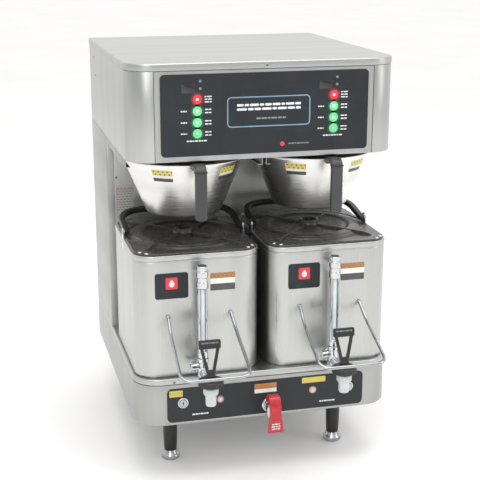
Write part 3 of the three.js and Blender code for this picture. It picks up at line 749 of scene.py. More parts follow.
# ---- cabinet ---------------------------------------------------------------------
class BREWER_OT_hood(bpy.types.Operator):
    """Builds the hood: top cover, wrapped walls, front panel and their screws"""

    bl_idname = "brewer.hood"
    bl_label = "Hood"

    def execute(self, context):
        sizes = context.scene.brewer_sizes
        seam, top_edge = sizes.seam * 1000, sizes.top_edge * 1000
        low, high = span("top_cover")
        profile = edge_profile(low[2] + 0.2, high[2], 0.4, top_edge, 6)
        cover = block(plan(low, high), (51, 51, 4, 4), profile, steps=14)
        make("cover", cover, "level steel", "chassis", ["top_cover"])
        low, high = span("hood_shell")
        loop = corner_loop(plan(low, high), (50, 50, 3, 3), steps=16)
        path = np.concatenate([loop[16:], loop[:16]])
        walls = wall(path, low[2] + 0.2, high[2] - 0.3, 2.0, edge=0.6)
        returns = [
            block(sorted_area(side * SEAM_X, side * (SEAM_X + 1.6), low[1] + 0.4, low[1] + 16), 0.3,
                  [(0, low[2] + 0.8), (0, high[2] - 0.8)])
            for _, side in SIDES
        ]
        make("hood_walls", join(walls, *returns), "upright steel", "chassis", ["hood_shell"])
        half = SEAM_X - seam
        panel = block((-half, half, low[2] + 0.2, high[2] - 0.3), 0.8,
                      edge_profile(low[1], low[1] + 2, 0.9, 0.3), "y", 4)
        hem = block((-half + 2, half - 2, low[1] + 1.5, low[1] + 14), 0.5,
                    edge_profile(low[2] + 0.2, low[2] + 1.7, 0.4, 0.4))
        make(
            "hood_front", join(panel, hem), "upright steel", "chassis", ["hood_front_panel"],
        )
        top = span("top_cover")
        places = [(1.0, top[0][1], 831.5, "-y")]
        places += [(x, top[1][1], 831.5, "y") for x in (-200, 0, 200)]
        screws("cover_screws", places, "chassis", 2.9)
        places = [
            (side * 266.5, y, z, side_way(side)) for _, side in SIDES for y, z in ((480, 803), (461, 765))
        ]
        screws("hood_side_screws", places, "chassis", 2.8, 0.9)
        self.rails()
        return {"FINISHED"}

    def rails(self):
        """Four folded rails under the hood, each a web with an inward lip, and the
        bridge behind them: eased blocks. The outer ones start at RAIL_FRONT."""
        low, high = span("basket_rails")
        foot, top = low[2] + 0.1, high[2]
        folds = [block((low[0], high[0], high[1] - 1.5, high[1]), 0.3, [(0, foot), (0, top)], steps=3)]
        for name, side in SIDES:
            centre = station(name)[0]
            web = high[0] - abs(centre)
            for hand in (-1, 1):
                outer = hand == side
                front = RAIL_FRONT[name] if outer else low[1]
                face, lip = centre + hand * web, centre + hand * (web - 9)
                area = sorted_area(face - hand * 1.5, face, front, high[1] - 0.2)
                folds.append(block(area, 0.3, edge_profile(foot, top, 0.2, 0.2), steps=3))
                area = sorted_area(lip, face - hand * 0.1, front, high[1] - 0.2)
                folds.append(block(area, 0.3, edge_profile(foot, foot + 1.8, 0.2, 0.2), steps=3))
        # The rails take the inner steel painted darker, as painted shade under the hood.
        make("rails", join(*folds), "inner steel painted shade", "chassis", ["basket_rails"])


class BREWER_OT_base(bpy.types.Operator):
    """Builds the base box, the deck with its lip, lamps, screws and print"""

    bl_idname = "brewer.base"
    bl_label = "Base"

    def execute(self, context):
        sizes = context.scene.brewer_sizes
        low, high = span("base_shell")
        area = plan(low, high)
        box = block(area, (55, 55, 3, 3), edge_profile(low[2], high[2] - 0.4, 2.2, 0.8), steps=16)
        # The base box takes the steel painted darker, as painted shade low down.
        make("base_box", box, "base steel painted shade", "chassis", ["base_shell"])
        low, high = span("base_deck")
        lip = edge_profile(low[2] + 0.4, high[2], 0.8, sizes.deck_edge * 1000, 6)
        deck = block(area, (55, 55, 3, 3), lip, steps=16)
        make("deck", deck, "level steel", "chassis", ["base_deck"])
        face = span("base_overlay")[0][1]
        front = span("base_shell")[0][1]
        screws("deck_screws", [(side * 190, front, 214.5, "-y") for _, side in SIDES], "chassis", 2.8)
        rear = high[1]
        places = [(x, rear, z, "y") for x in (-240, -80, 80, 240) for z in (135, 200)]
        screws("base_back_screws", places, "chassis", 3.0)
        for name, side in SIDES:
            x, z = side * 97, middle(f"warmer_switch_{name}")[2]
            ring = lathed(
                [(5.2, face, 0), (5.2, face - 1.6, 0.5), (7.4, face - 1.6, 0.8), (7.9, face, 0)], (x, z),
                "y", 40, closed=True, steps=4
            )
            lens = turned(
                [(0, face), (5.3, face), (5.3, face - 0.8), (3.6, face - 1.7), (0, face - 2.1)], (x, z),
                "y", 32
            )
            make(f"lamp_bezel_{name}", ring, "rose lamp" if side < 0 else "warm lamp", "chassis")
            make(f"lamp_lens_{name}", lens, "milky plastic", "chassis")
        rows = [r for x in (-137.6, 128.6) for r in dashes(x - 17, x + 17, 143, 3.2, 6, x)]
        make("base_print", marks(rows, face), "pale print", "chassis")
        yellow, dark = tint(206, 186, 74), tint(48, 44, 36)
        white, orange = tint(226, 224, 216), tint(184, 126, 56)
        stickers = (
            ("left", -187, 190.5, 27, 13, [(0, yellow)], (6, 5, dark, 0.2, 0.85)),
            ("middle", -3, 184.5, 46, 20, [(0, white), (0.42, orange)], (7, 6, dark, 0.5, 0.9)),
            ("right", 99, 192, 50, 12, [(0, yellow)], (8, 4, dark, 0.2, 0.8)),
        )
        for name, x, z, width, height, bands, lines in stickers:
            sticker(f"base_label_{name}", x, z, width, height, face, bands, lines)
        return {"FINISHED"}


def sticker(name, x, z, width, height, face, bands, lines, body="chassis", radius=1.0):
    """A printed label on an upright front face."""
    corner = ((x - width / 2) * 0.001, (z - height / 2) * 0.001)
    finish = printed(name.replace("_", " "), corner, (width * 0.001, height * 0.001), bands, lines)
    area = (x - width / 2, x + width / 2, z - height / 2, z + height / 2)
    return make(
        name, block(area, radius, [(0.05, face - 0.25), (0, face - 0.1), (0, face)], "y", 4), finish, body
    )


class BREWER_OT_column(bpy.types.Operator):
    """Builds the column's walls with their front returns, its label and the back's fittings"""

    bl_idname = "brewer.column"
    bl_label = "Column"

    def execute(self, context):
        low, high = span("column_shell")
        splash_low, splash_high = span("splash_panel")
        loop = corner_loop(plan(low, high), (1.6, 1.6, 3, 3), steps=4)
        mouth = splash_high[0] + 0.4
        path = np.concatenate([[[mouth, low[1]]], loop[4:], loop[:4], [[-mouth, low[1]]]])
        walls = wall(path, low[2], high[2] - 0.3, 2.0, edge=0.5)
        # The column walls take the side steel painted darker, as painted shade.
        make("column_walls", walls, "side steel painted shade", "chassis", ["column_shell"])
        splash = block((splash_low[0], splash_high[0], low[2], high[2] - 0.3), 0.6,
                       edge_profile(splash_low[1], splash_low[1] + 2, 0.5, 0.2), "y", 3)
        # The splash sheet takes the steel painted lighter, as painted light under the hood.
        make("splash_sheet", splash, "splash steel painted light", "chassis", ["splash_panel"])
        face = splash_low[1]
        places = [(side * 247, face, z, "-y") for _, side in SIDES for z in (561, 360)]
        screws("splash_screws", places, "chassis", 2.6)
        pale, ink = tint(176, 174, 170), tint(138, 126, 122)
        sticker(
            "splash_label", -229, 512, 38, 64, face, [(0, pale), (0.72, tint(182, 164, 160)), (0.92, pale)],
            (5, 11, ink, 0.08, 0.9), radius=1.5
        )
        back = high[1]
        plate = block((-206, 206, 300, 640), 6, edge_profile(back - 0.2, back + 1.4, 0.2, 0.6), "y", 6)
        vents = [
            louvre(column, 560 - row * 12, back + 1.3)
            for row in range(8) for column in (-120, 0, 120)
        ]
        # The back panel also takes the side steel painted darker, as painted shade.
        make("back_panel", join(plate, *vents), "side steel painted shade", "chassis")
        places = [(x, back + 1.4, z, "y") for x in (-196, 0, 196) for z in (310, 630)]
        screws("back_screws", places, "chassis", 3.0)
        fittings(back)
        return {"FINISHED"}


def louvre(x, z, face):
    """A pressed louvre: a quarter-round lip above a slot, tapered at its ends."""
    ends = np.sin(np.linspace(0, math.pi, 17)) ** 0.35
    line = np.column_stack([np.linspace(x - 42, x + 42, 17), np.full(17, face), np.full(17, z)])
    section = [(0, 0), (2.6, 0.2), (2.4, 1.6), (0.6, 4.6), (-0.4, 4.8), (-0.4, 0)]
    return swept(line, np.array(section)[:, ::-1] * np.array([1, -1]), (0, -1, 0), wide=ends, deep=ends)


def fittings(back):
    """The water inlet and the cord gland on the back wall."""
    for node, name, finish, sides, slot in (
        ("water_inlet", "inlet", "brass", 6, "brass_fitting"),
        ("cord_gland", "gland", "black plastic", 12, "black_plastic"),
    ):
        low, high = span(node)
        x, z = middle(node)[0], middle(node)[2]
        tip, bore = high[1], 5 if sides == 6 else 6
        pitch = np.arange(back + 8.2, tip - 1.2, 0.75)
        thread = np.column_stack([10 - 0.7 * (np.arange(len(pitch)) % 2), pitch])
        if sides == 12:
            thread = np.array([(13, back + 7.5), (13.4, tip - 3), (11.5, tip - 0.4)])
        profile = np.concatenate(
            [[(bore, low[1]), (10, low[1]), (10, back + 7)], thread, [(9.2, tip), (bore, tip)]]
        )
        body = turned(profile, (x, z), "y", 48)
        nut = sided_nut(x, z, 15.6, back + 0.3, back + 7, sides)
        make(name, join(body, nut), finish, "chassis", [node], bevel=0.4)


class BREWER_OT_legs(bpy.types.Operator):
    """Turns the four tapered legs and their levelling feet"""

    bl_idname = "brewer.legs"
    bl_label = "Legs"

    def execute(self, context):
        for row in ("front", "back"):
            for name, _ in SIDES:
                key = f"{row}_{name}"
                low, high = span(f"leg_{key}")
                centre = middle(f"leg_{key}")[:2]
                top = high[2]
                post = lathed(
                    [
                        (0, low[2] + 0.5, 0), (12.2, low[2] + 0.5, 1.5), (13.4, low[2] + 2, 1.5),
                        (16.4, top - 12, 6), (19, top - 9.5, 2), (21.8, top - 8, 1.2), (21.8, top, 0.4),
                        (0, top, 0)
                    ],
                    centre
                )
                make(f"leg_{key}_post", post, "leg plastic", "chassis", [f"leg_{key}"])
                foot = f"foot_{key}"
                pad = lathed(
                    [
                        (0, 0, 0), (16.5, 0, 1), (19.4, 2.2, 1.6), (19.4, 8.5, 2.5), (15.4, 14, 3),
                        (13.2, 19.9, 0.6), (0, 19.9, 0)
                    ],
                    centre
                )
                stem = rod(4.3, 19, span(foot)[1][2], centre, segments=20)
                make(f"{foot}_pad", join(pad, stem), "bright wire", foot, [foot])
        return {"FINISHED"}


# ---- controls --------------------------------------------------------------------
class BREWER_OT_controls(bpy.types.Operator):
    """Builds the keys, their surrounds, the windows and the print on the control film"""

    bl_idname = "brewer.controls"
    bl_label = "Controls"

    def execute(self, context):
        dome = context.scene.brewer_sizes.key_dome * 1000
        face = span("control_overlay")[0][1]
        bright, dim = [], []
        for name, _ in SIDES:
            rings = {"red": [], "green": []}
            for key in KEYS:
                node = f"key_{key}_{name}"
                low, high = span(node)
                x, _, z = middle(node)
                kind = "red" if key == "stop" else "green"
                top = low[1] + dome
                cap = lathed(
                    [
                        (0, high[1], 0), (8.9, high[1], 0), (8.9, top - 0.15, 0.4), (8.1, low[1], 0.5),
                        (7.0, low[1] + 0.1, 0.5), (6.2, top, 1), (0, top, 0)
                    ],
                    (x, z), "y", 48, steps=4
                )
                make(f"cap_{key}_{name}", cap, f"{kind} key", node, [node])
                reach = {"stop": 2.4, "large": 3.6, "medium": 3.0, "small": 2.4}[key]
                if key == "stop":
                    sign = block((x - reach, x + reach, z - reach, z + reach), 0.6,
                                 [(0, top - 0.12), (0, top + 0.1)], "y", 4)
                else:
                    bowl = rounded(
                        [
                            (-reach, reach * 0.8), (-reach * 0.62, -reach * 0.8),
                            (reach * 0.62, -reach * 0.8), (reach, reach * 0.8)
                        ],
                        [0.2, 1, 1, 0.2]
                    )
                    sign = cut_out(bowl + [x, z], top - 0.12, top + 0.1, "y")
                make(f"sign_{key}_{name}", sign, "pale print", node)
                rings[kind].append(rod(12.4, face - 0.15, face, (x, z), "y", 48, bore=9.5))
                if key == "stop":
                    bright += [r for k in (5, 0, -5) for r in dashes(x + 14, x + 29, z + k, 2.2, 2, k)]
                else:
                    bright += [r for k in (3, -3) for r in dashes(x + 14.5, x + 28, z + k, 2.4, 2, k)]
                    bright += dashes(x - 32, x - 19, z + 0.5, 2.4, 3)
            for kind, parts in rings.items():
                make(
                    f"surround_{kind}_{name}", join(*parts), f"{kind} surround", "chassis",
                )
            bright += dashes(x - 21, x + 19, span(f"key_small_{name}")[0][2] - 4.6, 2.6, 7)
            for z in (805, 791):
                dim.append((x + 3.4, x + 8.4, z, 4.6))
            window = block(
                (x - 30, x - 4, 783, 799), 1.2, [(0.3, face - 0.3), (0, face - 0.15), (0, face)], "y", 4
            )
            make(f"window_{name}", window, "dark window", "chassis")
        upper = [r for z, n in ((757, 9), (749, 8)) for r in dashes(-58, 70, z, 4.6, n, z)]
        lower = dashes(-20, 40, 731, 3.2, 6)
        make("panel_print", marks(bright + upper, face), "pale print", "chassis")
        make("panel_marks", marks(dim + lower + dashes(44, 86, 680, 2.6, 7), face), "dim print", "chassis")
        loop = corner_loop((-76, 86, 716, 772), 7, steps=10)
        line = np.column_stack([loop[:, 0], np.full(len(loop), face - 0.08), loop[:, 1]])
        band = swept(line, corner_loop((-1.1, 1.1, -0.08, 0.08), 0.05, steps=3), (0, 1, 0), closed=True)
        make("panel_frame", band, "blue print", "chassis")
        make(
            "panel_spot",
            turned([(0, face - 0.2), (4.4, face - 0.2), (4.6, face), (0, face)], (32, 680), "y", 32),
            "red key", "chassis"
        )
        self.switches()
        return {"FINISHED"}

    def switches(self):
        """The warmer switches: on each side a plated bezel, a button and its mark."""
        for name, _ in SIDES:
            node = f"warmer_switch_{name}"
            low, high = span(node)
            x, _, z = middle(node)
            ring = span("base_overlay")[0][1]
            bezel = lathed(
                [(8.3, ring, 0), (8.3, ring - 2.2, 0.6), (10.6, ring - 2.2, 0.9), (11.4, ring, 0)], (x, z),
                "y", 48, closed=True
            )
            make(f"switch_bezel_{name}", bezel, "chrome", "chassis")
            knob = lathed(
                [
                    (0, high[1], 0), (4, high[1], 0), (4, ring, 0), (7.8, ring, 0),
                    (7.8, low[1] + 0.8, 0.8), (6.6, low[1], 0.8), (3.6, low[1] + 0.5, 1),
                    (0, low[1] + 0.5, 0)
                ],
                (x, z), "y", 40
            )
            make(f"switch_button_{name}", knob, "bright wire", node, [node])
            nub = block(
                (x - 1.1, x + 1.1, z - 3.2, z + 3.2), 0.8, [(0.2, low[1] + 0.1), (0, low[1] + 0.6)], "y", 3
            )
            make(f"switch_sign_{name}", nub, "dark mark and painted shade", node)


# ---- brew baskets ----------------------------------------------------------------
class BREWER_OT_baskets(bpy.types.Operator):
    """Spins the two cone baskets with their rims, and adds labels and handles"""

    bl_idname = "brewer.baskets"
    bl_label = "Brew baskets"

    def execute(self, context):
        for name, _ in SIDES:
            body, node = f"basket_{name}", f"brew_basket_{name}"
            centre = station(name)
            low, high = span(node)
            foot, top = low[2], high[2]
            inner, outer = 119.7, (high[0] - low[0]) / 2 - 0.1
            narrow, wide = 76.2, 121.3
            cone = lathed(
                [
                    (5.5, foot + 0.2, 0), (60, foot + 0.2, 2), (narrow, foot + 0.9, 5),
                    (wide, top - 5.4, 1.5), (121.5, top - 2.5, 0.6), (outer, top - 2.4, 0.8),
                    (outer, top - 0.1, 0.8), (inner, top - 0.1, 0.8), (inner, top - 5.5, 3),
                    (75, foot + 1.8, 3), (5.5, foot + 1.8, 0)
                ],
                centre, segments=128, closed=True
            )
            make(f"cone_{name}", cone, "spun steel", body, [node])
            slope = (wide - narrow) / (top - 5.4 - foot - 0.9)
            yellow, dark, white = tint(214, 200, 84), tint(40, 38, 36), tint(232, 230, 222)
            for tag, turn in (("a", -122), ("b", -52)):
                z0, z1 = foot + 80, foot + 104
                r0, r1 = (narrow + slope * (z - foot - 0.9) for z in (z0, z1))
                band = [(r0 + 0.05, z0), (r0 + 0.3, z0), (r1 + 0.3, z1), (r1 + 0.05, z1)]
                patch = turned(band, centre, segments=12, arc=(turn - 10.5, turn + 10.5))
                points = patch["points"]
                corner, size = points.min(0) * 0.001, np.ptp(points, axis=0) * 0.001
                bands = [(0, dark), (0.3, white), (0.52, yellow)]
                lines = (5, 4, dark, 0.55, 0.95)
                finish = printed(f"cone label {name} {tag}", corner[::2], size[::2], bands, lines)
                make(f"cone_label_{name}_{tag}", patch, finish, body)
            self.handle(name, body, centre)
        return {"FINISHED"}

    def handle(self, name, body, centre):
        """A strap led forwards from the rim and bent down: an eased rectangle along a bent line."""
        node = f"basket_handle_{name}"
        low, high = span(node)
        x = centre[0]
        front, foot, top = low[1], low[2], high[2]
        line = rounded([(16, top - 10.5), (-6, top - 7), (front + 6, top - 6.5), (front + 6, foot + 0.5)],
                       [0, 6, 17, 0], closed=False, steps=9)
        path = even(np.column_stack([np.full(len(line), x), line]), 3)
        tip = np.clip((path[:, 2] - foot) / 6.0, 0, 1)
        ease = np.sqrt(np.clip(1 - (1 - tip) ** 2, 0.1, 1))
        strap = swept(
            path, corner_loop((-5.8, 5.8, -11.3, 11.3), 2.6, steps=5), (1, 0, 0), wide=ease, deep=ease
        )
        make(f"handle_{name}", strap, "grey handle", body, [node])
        clip = block((x - 8.5, x + 8.5, 7, 20), 1.2, edge_profile(top - 17, top - 14.5, 0.6, 0.6))
        plate = block(
            (x - 12.6, x + 12.6, front - 0.2, front + 12.5), 2.8,
            edge_profile(top - 15, top - 12.6, 0.6, 0.6)
        )
        make(f"handle_clip_{name}", join(clip, plate), "dark metal", body)


# ---- shuttles --------------------------------------------------------------------
class BREWER_OT_shuttles(bpy.types.Operator):
    """Builds the two insulated shuttles: body, rolled rim, ears, badge and label"""

    bl_idname = "brewer.shuttles"
    bl_label = "Shuttles"

    def execute(self, context):
        rim = context.scene.brewer_sizes.rim * 1000
        for name, _ in SIDES:
            body, node = f"shuttle_{name}", f"shuttle_body_{name}"
            low, high = span(node)
            top = SHUTTLE_TOP
            area = plan(low, high)
            profile = rounded(
                [
                    (7, low[2]), (4.0, low[2]), (4.0, low[2] + 2.0), (1.0, low[2] + 2.4),
                    (1.0, top - rim - 1.0), (1.7, top - rim), (1.7, top - rim + 1.2), (0, top - rim + 2.6),
                    (0, top - 1.4), (1.6, top), (8, top)
                ],
                [0, 0.3, 0.6, 1.0, 0.5, 0.4, 0.4, 1.2, 1.2, 1.4, 0], closed=False, steps=5
            )
            profile = np.vstack([profile, [(9, top)]])
            shell = block(area, 42, profile, steps=18)
            make(f"shell_{name}", shell, "shuttle steel", body, [node])
            centre = station(name)
            pin_y, pin_z = BAIL_PIN
            ears, pins = [], []
            for hand in (-1, 1):
                x0, x1 = sorted((centre[0] + hand * 124.3, centre[0] + hand * 126.6))
                arch = np.radians(np.linspace(0, 180, 17))
                outline = np.concatenate(
                    [
                        [(pin_y - 11, top - 22), (pin_y + 11, top - 22), (pin_y + 10, pin_z)],
                        np.column_stack([pin_y + 10 * np.cos(arch), pin_z + 10 * np.sin(arch)])[1:]
                    ]
                )
                ears.append(cut_out(outline, x0, x1, "x"))
                tip = sorted((centre[0] + hand * 126.4, centre[0] + hand * 127.0))
                pins.append(rod(5, *tip, BAIL_PIN, "x", 32))
            make(f"ears_{name}", join(*ears), "chrome", body, bevel=0.5)
            make(f"ear_pins_{name}", join(*pins), "screw steel", body)
            self.badge(name, body, centre[0], low[1])
            self.rivets(name, body, centre)
        return {"FINISHED"}

    def badge(self, name, body, x, front):
        """A dark plate with a red square and a pale drop, and a three-colour label beside the gauge."""
        front = front + 1.0
        area = (x - 88, x - 22, 385, 437)
        plate = block(
            area, 5, [(0.5, front - 1.1), (0.15, front - 1.0), (0, front - 0.8), (0, front)], "y", 6
        )
        make(f"badge_{name}", plate, "panel film", body)
        cx, cz = x - 55, 416
        red = block(
            (cx - 12, cx + 12, cz - 12, cz + 12), 2.5, [(0.2, front - 1.25), (0, front - 1.0)], "y", 4
        )
        make(f"badge_square_{name}", red, "red key", body)
        turn = np.linspace(0, 2 * math.pi, 40, endpoint=False)
        reach = 1 + 0.45 * np.clip(np.sin(turn), 0, 1) ** 6
        drop = np.column_stack([cx + 5.4 * np.cos(turn), cz - 1.5 + 6.0 * np.sin(turn) * reach])
        make(f"badge_drop_{name}", cut_out(drop, front - 1.4, front - 1.2, "y"), "pale print", body)
        orange, white, dark = tint(172, 118, 50), tint(236, 234, 226), tint(58, 56, 62)
        sticker(
            f"shuttle_label_{name}", x + 47, 413, 50, 36, front, [(0, dark), (0.38, white), (0.68, orange)],
            (6, 8, tint(110, 84, 56), 0.7, 0.95), body
        )

    def rivets(self, name, body, centre):
        """Domed rivets near the cover's front and back corners."""
        places = [
            (sx * dx, sy * dy) for sx in (-1, 1) for sy in (-1, 1) for dx, dy in ((112, 124), (101, 136))
        ]
        top = LID_TOP
        dome = [
            (0, top + 2.2, 0), (2.6, top + 2.0, 1), (4.2, top + 0.6, 0.6), (4.2, top - 0.2, 0),
            (0, top - 0.2, 0)
        ]
        heads = [lathed(dome, centre + np.array(place), segments=20, steps=4) for place in places]
        make(f"rivets_{name}", join(*heads), "chrome", body)


class BREWER_OT_covers(bpy.types.Operator):
    """Moulds the shuttles' covers: rounded plate, round dish, four ribs and an open hub"""

    bl_idname = "brewer.covers"
    bl_label = "Covers"

    def execute(self, context):
        for name, _ in SIDES:
            body, node = f"shuttle_{name}", f"shuttle_lid_{name}"
            low, high = span(node)
            centre = station(name)
            area = plan(low, high)
            plate = block(area, 38, edge_profile(472.3, 475.8, 0.4, 1.6, 5), steps=16)
            dish = lathed(
                [
                    (14, 466.2, 0), (99.5, 466.2, 1), (99.5, 475, 0.5), (116, 475, 0.5), (115, 477.2, 1),
                    (108, 477.6, 1.5), (105, 479.4, 1.5), (98, 480.4, 2.5), (86, 480.4, 2.5),
                    (79, 477.4, 3), (40, 476.6, 6), (30, 477.6, 3), (20.5, 478.5, 4),
                    (19.8, high[2] - 0.2, 0.8), (16.6, high[2] - 0.1, 0.8), (14, high[2] - 1.5, 0.8)
                ],
                centre, segments=128, closed=True
            )
            ribs, rib_foot = [], 474.0
            section = rounded([(-2.6, 0), (2.6, 0), (1.7, 1), (-1.7, 1)], [0, 0, 0.25, 0.25], steps=4)
            for sx in (-1, 1):
                for sy in (-1, 1):
                    way = np.array([sx * 0.66, sy * 0.751])
                    run = np.linspace(19, 148, 40)
                    height = LID_TOP + 5.6 * np.clip((150 - run) / 22, 0, 1) ** 0.5
                    height = np.maximum(height, LID_TOP + 0.4)
                    line = np.column_stack(
                        [centre[0] + way[0] * run, centre[1] + way[1] * run, np.full(40, rib_foot)]
                    )
                    ribs.append(swept(line, section, (0, 0, 1), wide=height - rib_foot))
            rim = 121.5
            bead = [(rim - 1.2, 475.6), (rim + 1.2, 475.6), (rim + 0.7, 477.1), (rim - 0.7, 477.1)]
            cover = join(plate, dish, *ribs, turned(bead, centre, segments=96))
            # The cover takes the plastic painted lighter, as painted sheen.
            make(f"cover_{name}", cover, "cover plastic painted sheen", body, [node])
            # A dark disc in the hub's mouth: painted shade in the opening.
            mouth = rod(13.8, 468, 468.6, centre, segments=48)
            make(f"cover_shade_{name}", mouth, "dark mark and painted shade", body)
        return {"FINISHED"}


class BREWER_OT_bails(bpy.types.Operator):
    """Bends the carrying bails that lie back over the covers"""

    bl_idname = "brewer.bails"
    bl_label = "Carrying bails"

    def execute(self, context):
        sizes = context.scene.brewer_sizes
        width, depth = sizes.bail_width * 500, sizes.bail_depth * 500
        for name, _ in SIDES:
            node = f"bail_handle_{name}"
            low, high = span(node)
            x, half = middle(node)[0], 118.5
            rear, rise = high[1] - depth - 0.2, high[2] - width - 0.2
            corners = [(-half, 141, 483), (-half, rear, rise), (half, rear, rise), (half, 141, 483)]
            line = rounded(corners, [0, 66, 66, 0], closed=False, steps=18) + [x, 0, 0]
            path = even(line, 3)
            section = oblong(depth, width, 2.6)
            ends = np.minimum(np.arange(len(path)), np.arange(len(path))[::-1])
            ease = np.sqrt(np.clip(1 - (1 - np.clip((ends + 0.6) / 2.2, 0, 1)) ** 2, 0.2, 1))
            grip = 1 + 0.1 * np.clip(1 - np.abs(path[:, 0] - x) / 46, 0, 1) ** 0.3
            strap = swept(
                path, section, (0, -0.188, 0.982), wide=np.minimum(ease, 1) * grip * 0.91, deep=ease
            )
            pins = [rod(2.6, a, b, BAIL_PIN, "x", 24)
                    for a, b in ((low[0] + 0.1, x - half), (x + half, high[0] - 0.1))]
            make(
                f"bail_{name}_strap", join(strap, *pins), "black plastic", f"bail_{name}", [node],
            )
            collars = [rod(8, a, b, BAIL_PIN, "x", 32, bore=2.7)
                       for a, b in ((low[0] + 2.6, low[0] + 3.6), (high[0] - 3.6, high[0] - 2.6))]
            make(f"bail_{name}_washers", join(*collars), "chrome", f"bail_{name}")
        return {"FINISHED"}


# ---- guards, gauges and faucets --------------------------------------------------
class BREWER_OT_guards(bpy.types.Operator):
    """Bends the wire guards that stand out round the faucets"""

    bl_idname = "brewer.guards"
    bl_label = "Faucet guards"

    def execute(self, context):
        radius = context.scene.brewer_sizes.wire * 500
        for name, _ in SIDES:
            node, body = f"wire_guard_{name}", f"shuttle_{name}"
            low, high = span(node)
            x, back = middle(node)[0], high[1]
            front, bar = low[1] + 3.3, low[2] + 3.3
            corners = [
                (-63, back - 0.5, GUARD_SEAT_Z), (-65, -45, 320), (-67, front, bar), (67, front, bar),
                (65, -45, 320), (63, back - 0.5, GUARD_SEAT_Z)
            ]
            line = rounded(corners, [0, 20, 24, 24, 20, 0], closed=False, steps=12) + [x, 0, 0]
            bow = swept(even(line, 2.5), circle(radius, 20), (0, -0.42, 0.9))
            pads = [
                lathed(
                    [
                        (0, back - 2, 0), (3.8, back - 2, 0.6), (4.8, back - 1.2, 0.5),
                        (4.8, back - 0.1, 0), (0, back - 0.1, 0)
                    ],
                    (x + dx, GUARD_SEAT_Z), "y", 36
                ) for dx in (-63, 63)
            ]
            make(f"guard_{name}", join(bow, *pads), "bright wire", body, [node])
        return {"FINISHED"}


class BREWER_OT_gauges(bpy.types.Operator):
    """Builds the sight gauges: cap, clamp, split shield and glass tube"""

    bl_idname = "brewer.gauges"
    bl_label = "Sight gauges"

    def execute(self, context):
        for name, _ in SIDES:
            node, body = f"sight_gauge_{name}", f"shuttle_{name}"
            low, high = span(node)
            x, y = station(name)[0], low[1] + 12
            foot, top = low[2], high[2]
            centre = (x, y)
            nut = lathed(
                [
                    (5, foot + 0.2, 0), (10.8, foot + 0.2, 0.6), (10.8, foot + 11, 1.2),
                    (9.6, foot + 13.6, 0.8), (5, foot + 13.6, 0)
                ],
                centre, segments=12, closed=True
            )
            clamp = lathed(
                [
                    (5, top - 46, 0), (10, top - 46, 0.6), (11.8, top - 44, 0.8), (11.8, top - 33, 0.6),
                    (10.8, top - 31.5, 0.6), (10.8, top - 24, 0.6), (11.8, top - 22.5, 0.6),
                    (11.8, top - 12, 0.8), (10.2, top - 10, 0.8), (5, top - 10, 0)
                ],
                centre, segments=64, closed=True
            )
            back = span(f"shuttle_body_{name}")[0][1] + 0.6
            arm = block((x - 8, x + 8, y + 4, back), 2, edge_profile(top - 38, top - 18, 1, 1))
            sleeve = [(8.2, foot + 12), (9.9, foot + 12), (9.9, top - 45), (8.2, top - 45)]
            shield = turned(sleeve, centre, segments=40, arc=(-48, 228))
            metal = join(nut, clamp, arm, shield)
            make(f"gauge_{name}", metal, "chrome", body, [node])
            glass = rod(6.2, foot + 10, top - 40, centre, segments=40)
            make(f"gauge_tube_{name}", glass, "gauge glass", body)
            cap = lathed(
                [
                    (0, top - 0.4, 0), (9, top - 0.4, 1), (10.3, top - 2, 1.4), (10.3, top - 9.6, 0.6),
                    (8.8, top - 10.6, 0.4), (0, top - 10.6, 0)
                ],
                centre, segments=72, ripple=(24, 0.6, top - 9.5, top - 2)
            )
            make(f"gauge_cap_{name}", cap, "chrome", body)
            lid = lathed(
                [(0, top, 0), (8.6, top, 0.4), (8.9, top - 0.8, 0), (0, top - 0.8, 0)], centre, segments=48
            )
            make(f"gauge_plug_{name}", lid, "black plastic", body)
        return {"FINISHED"}


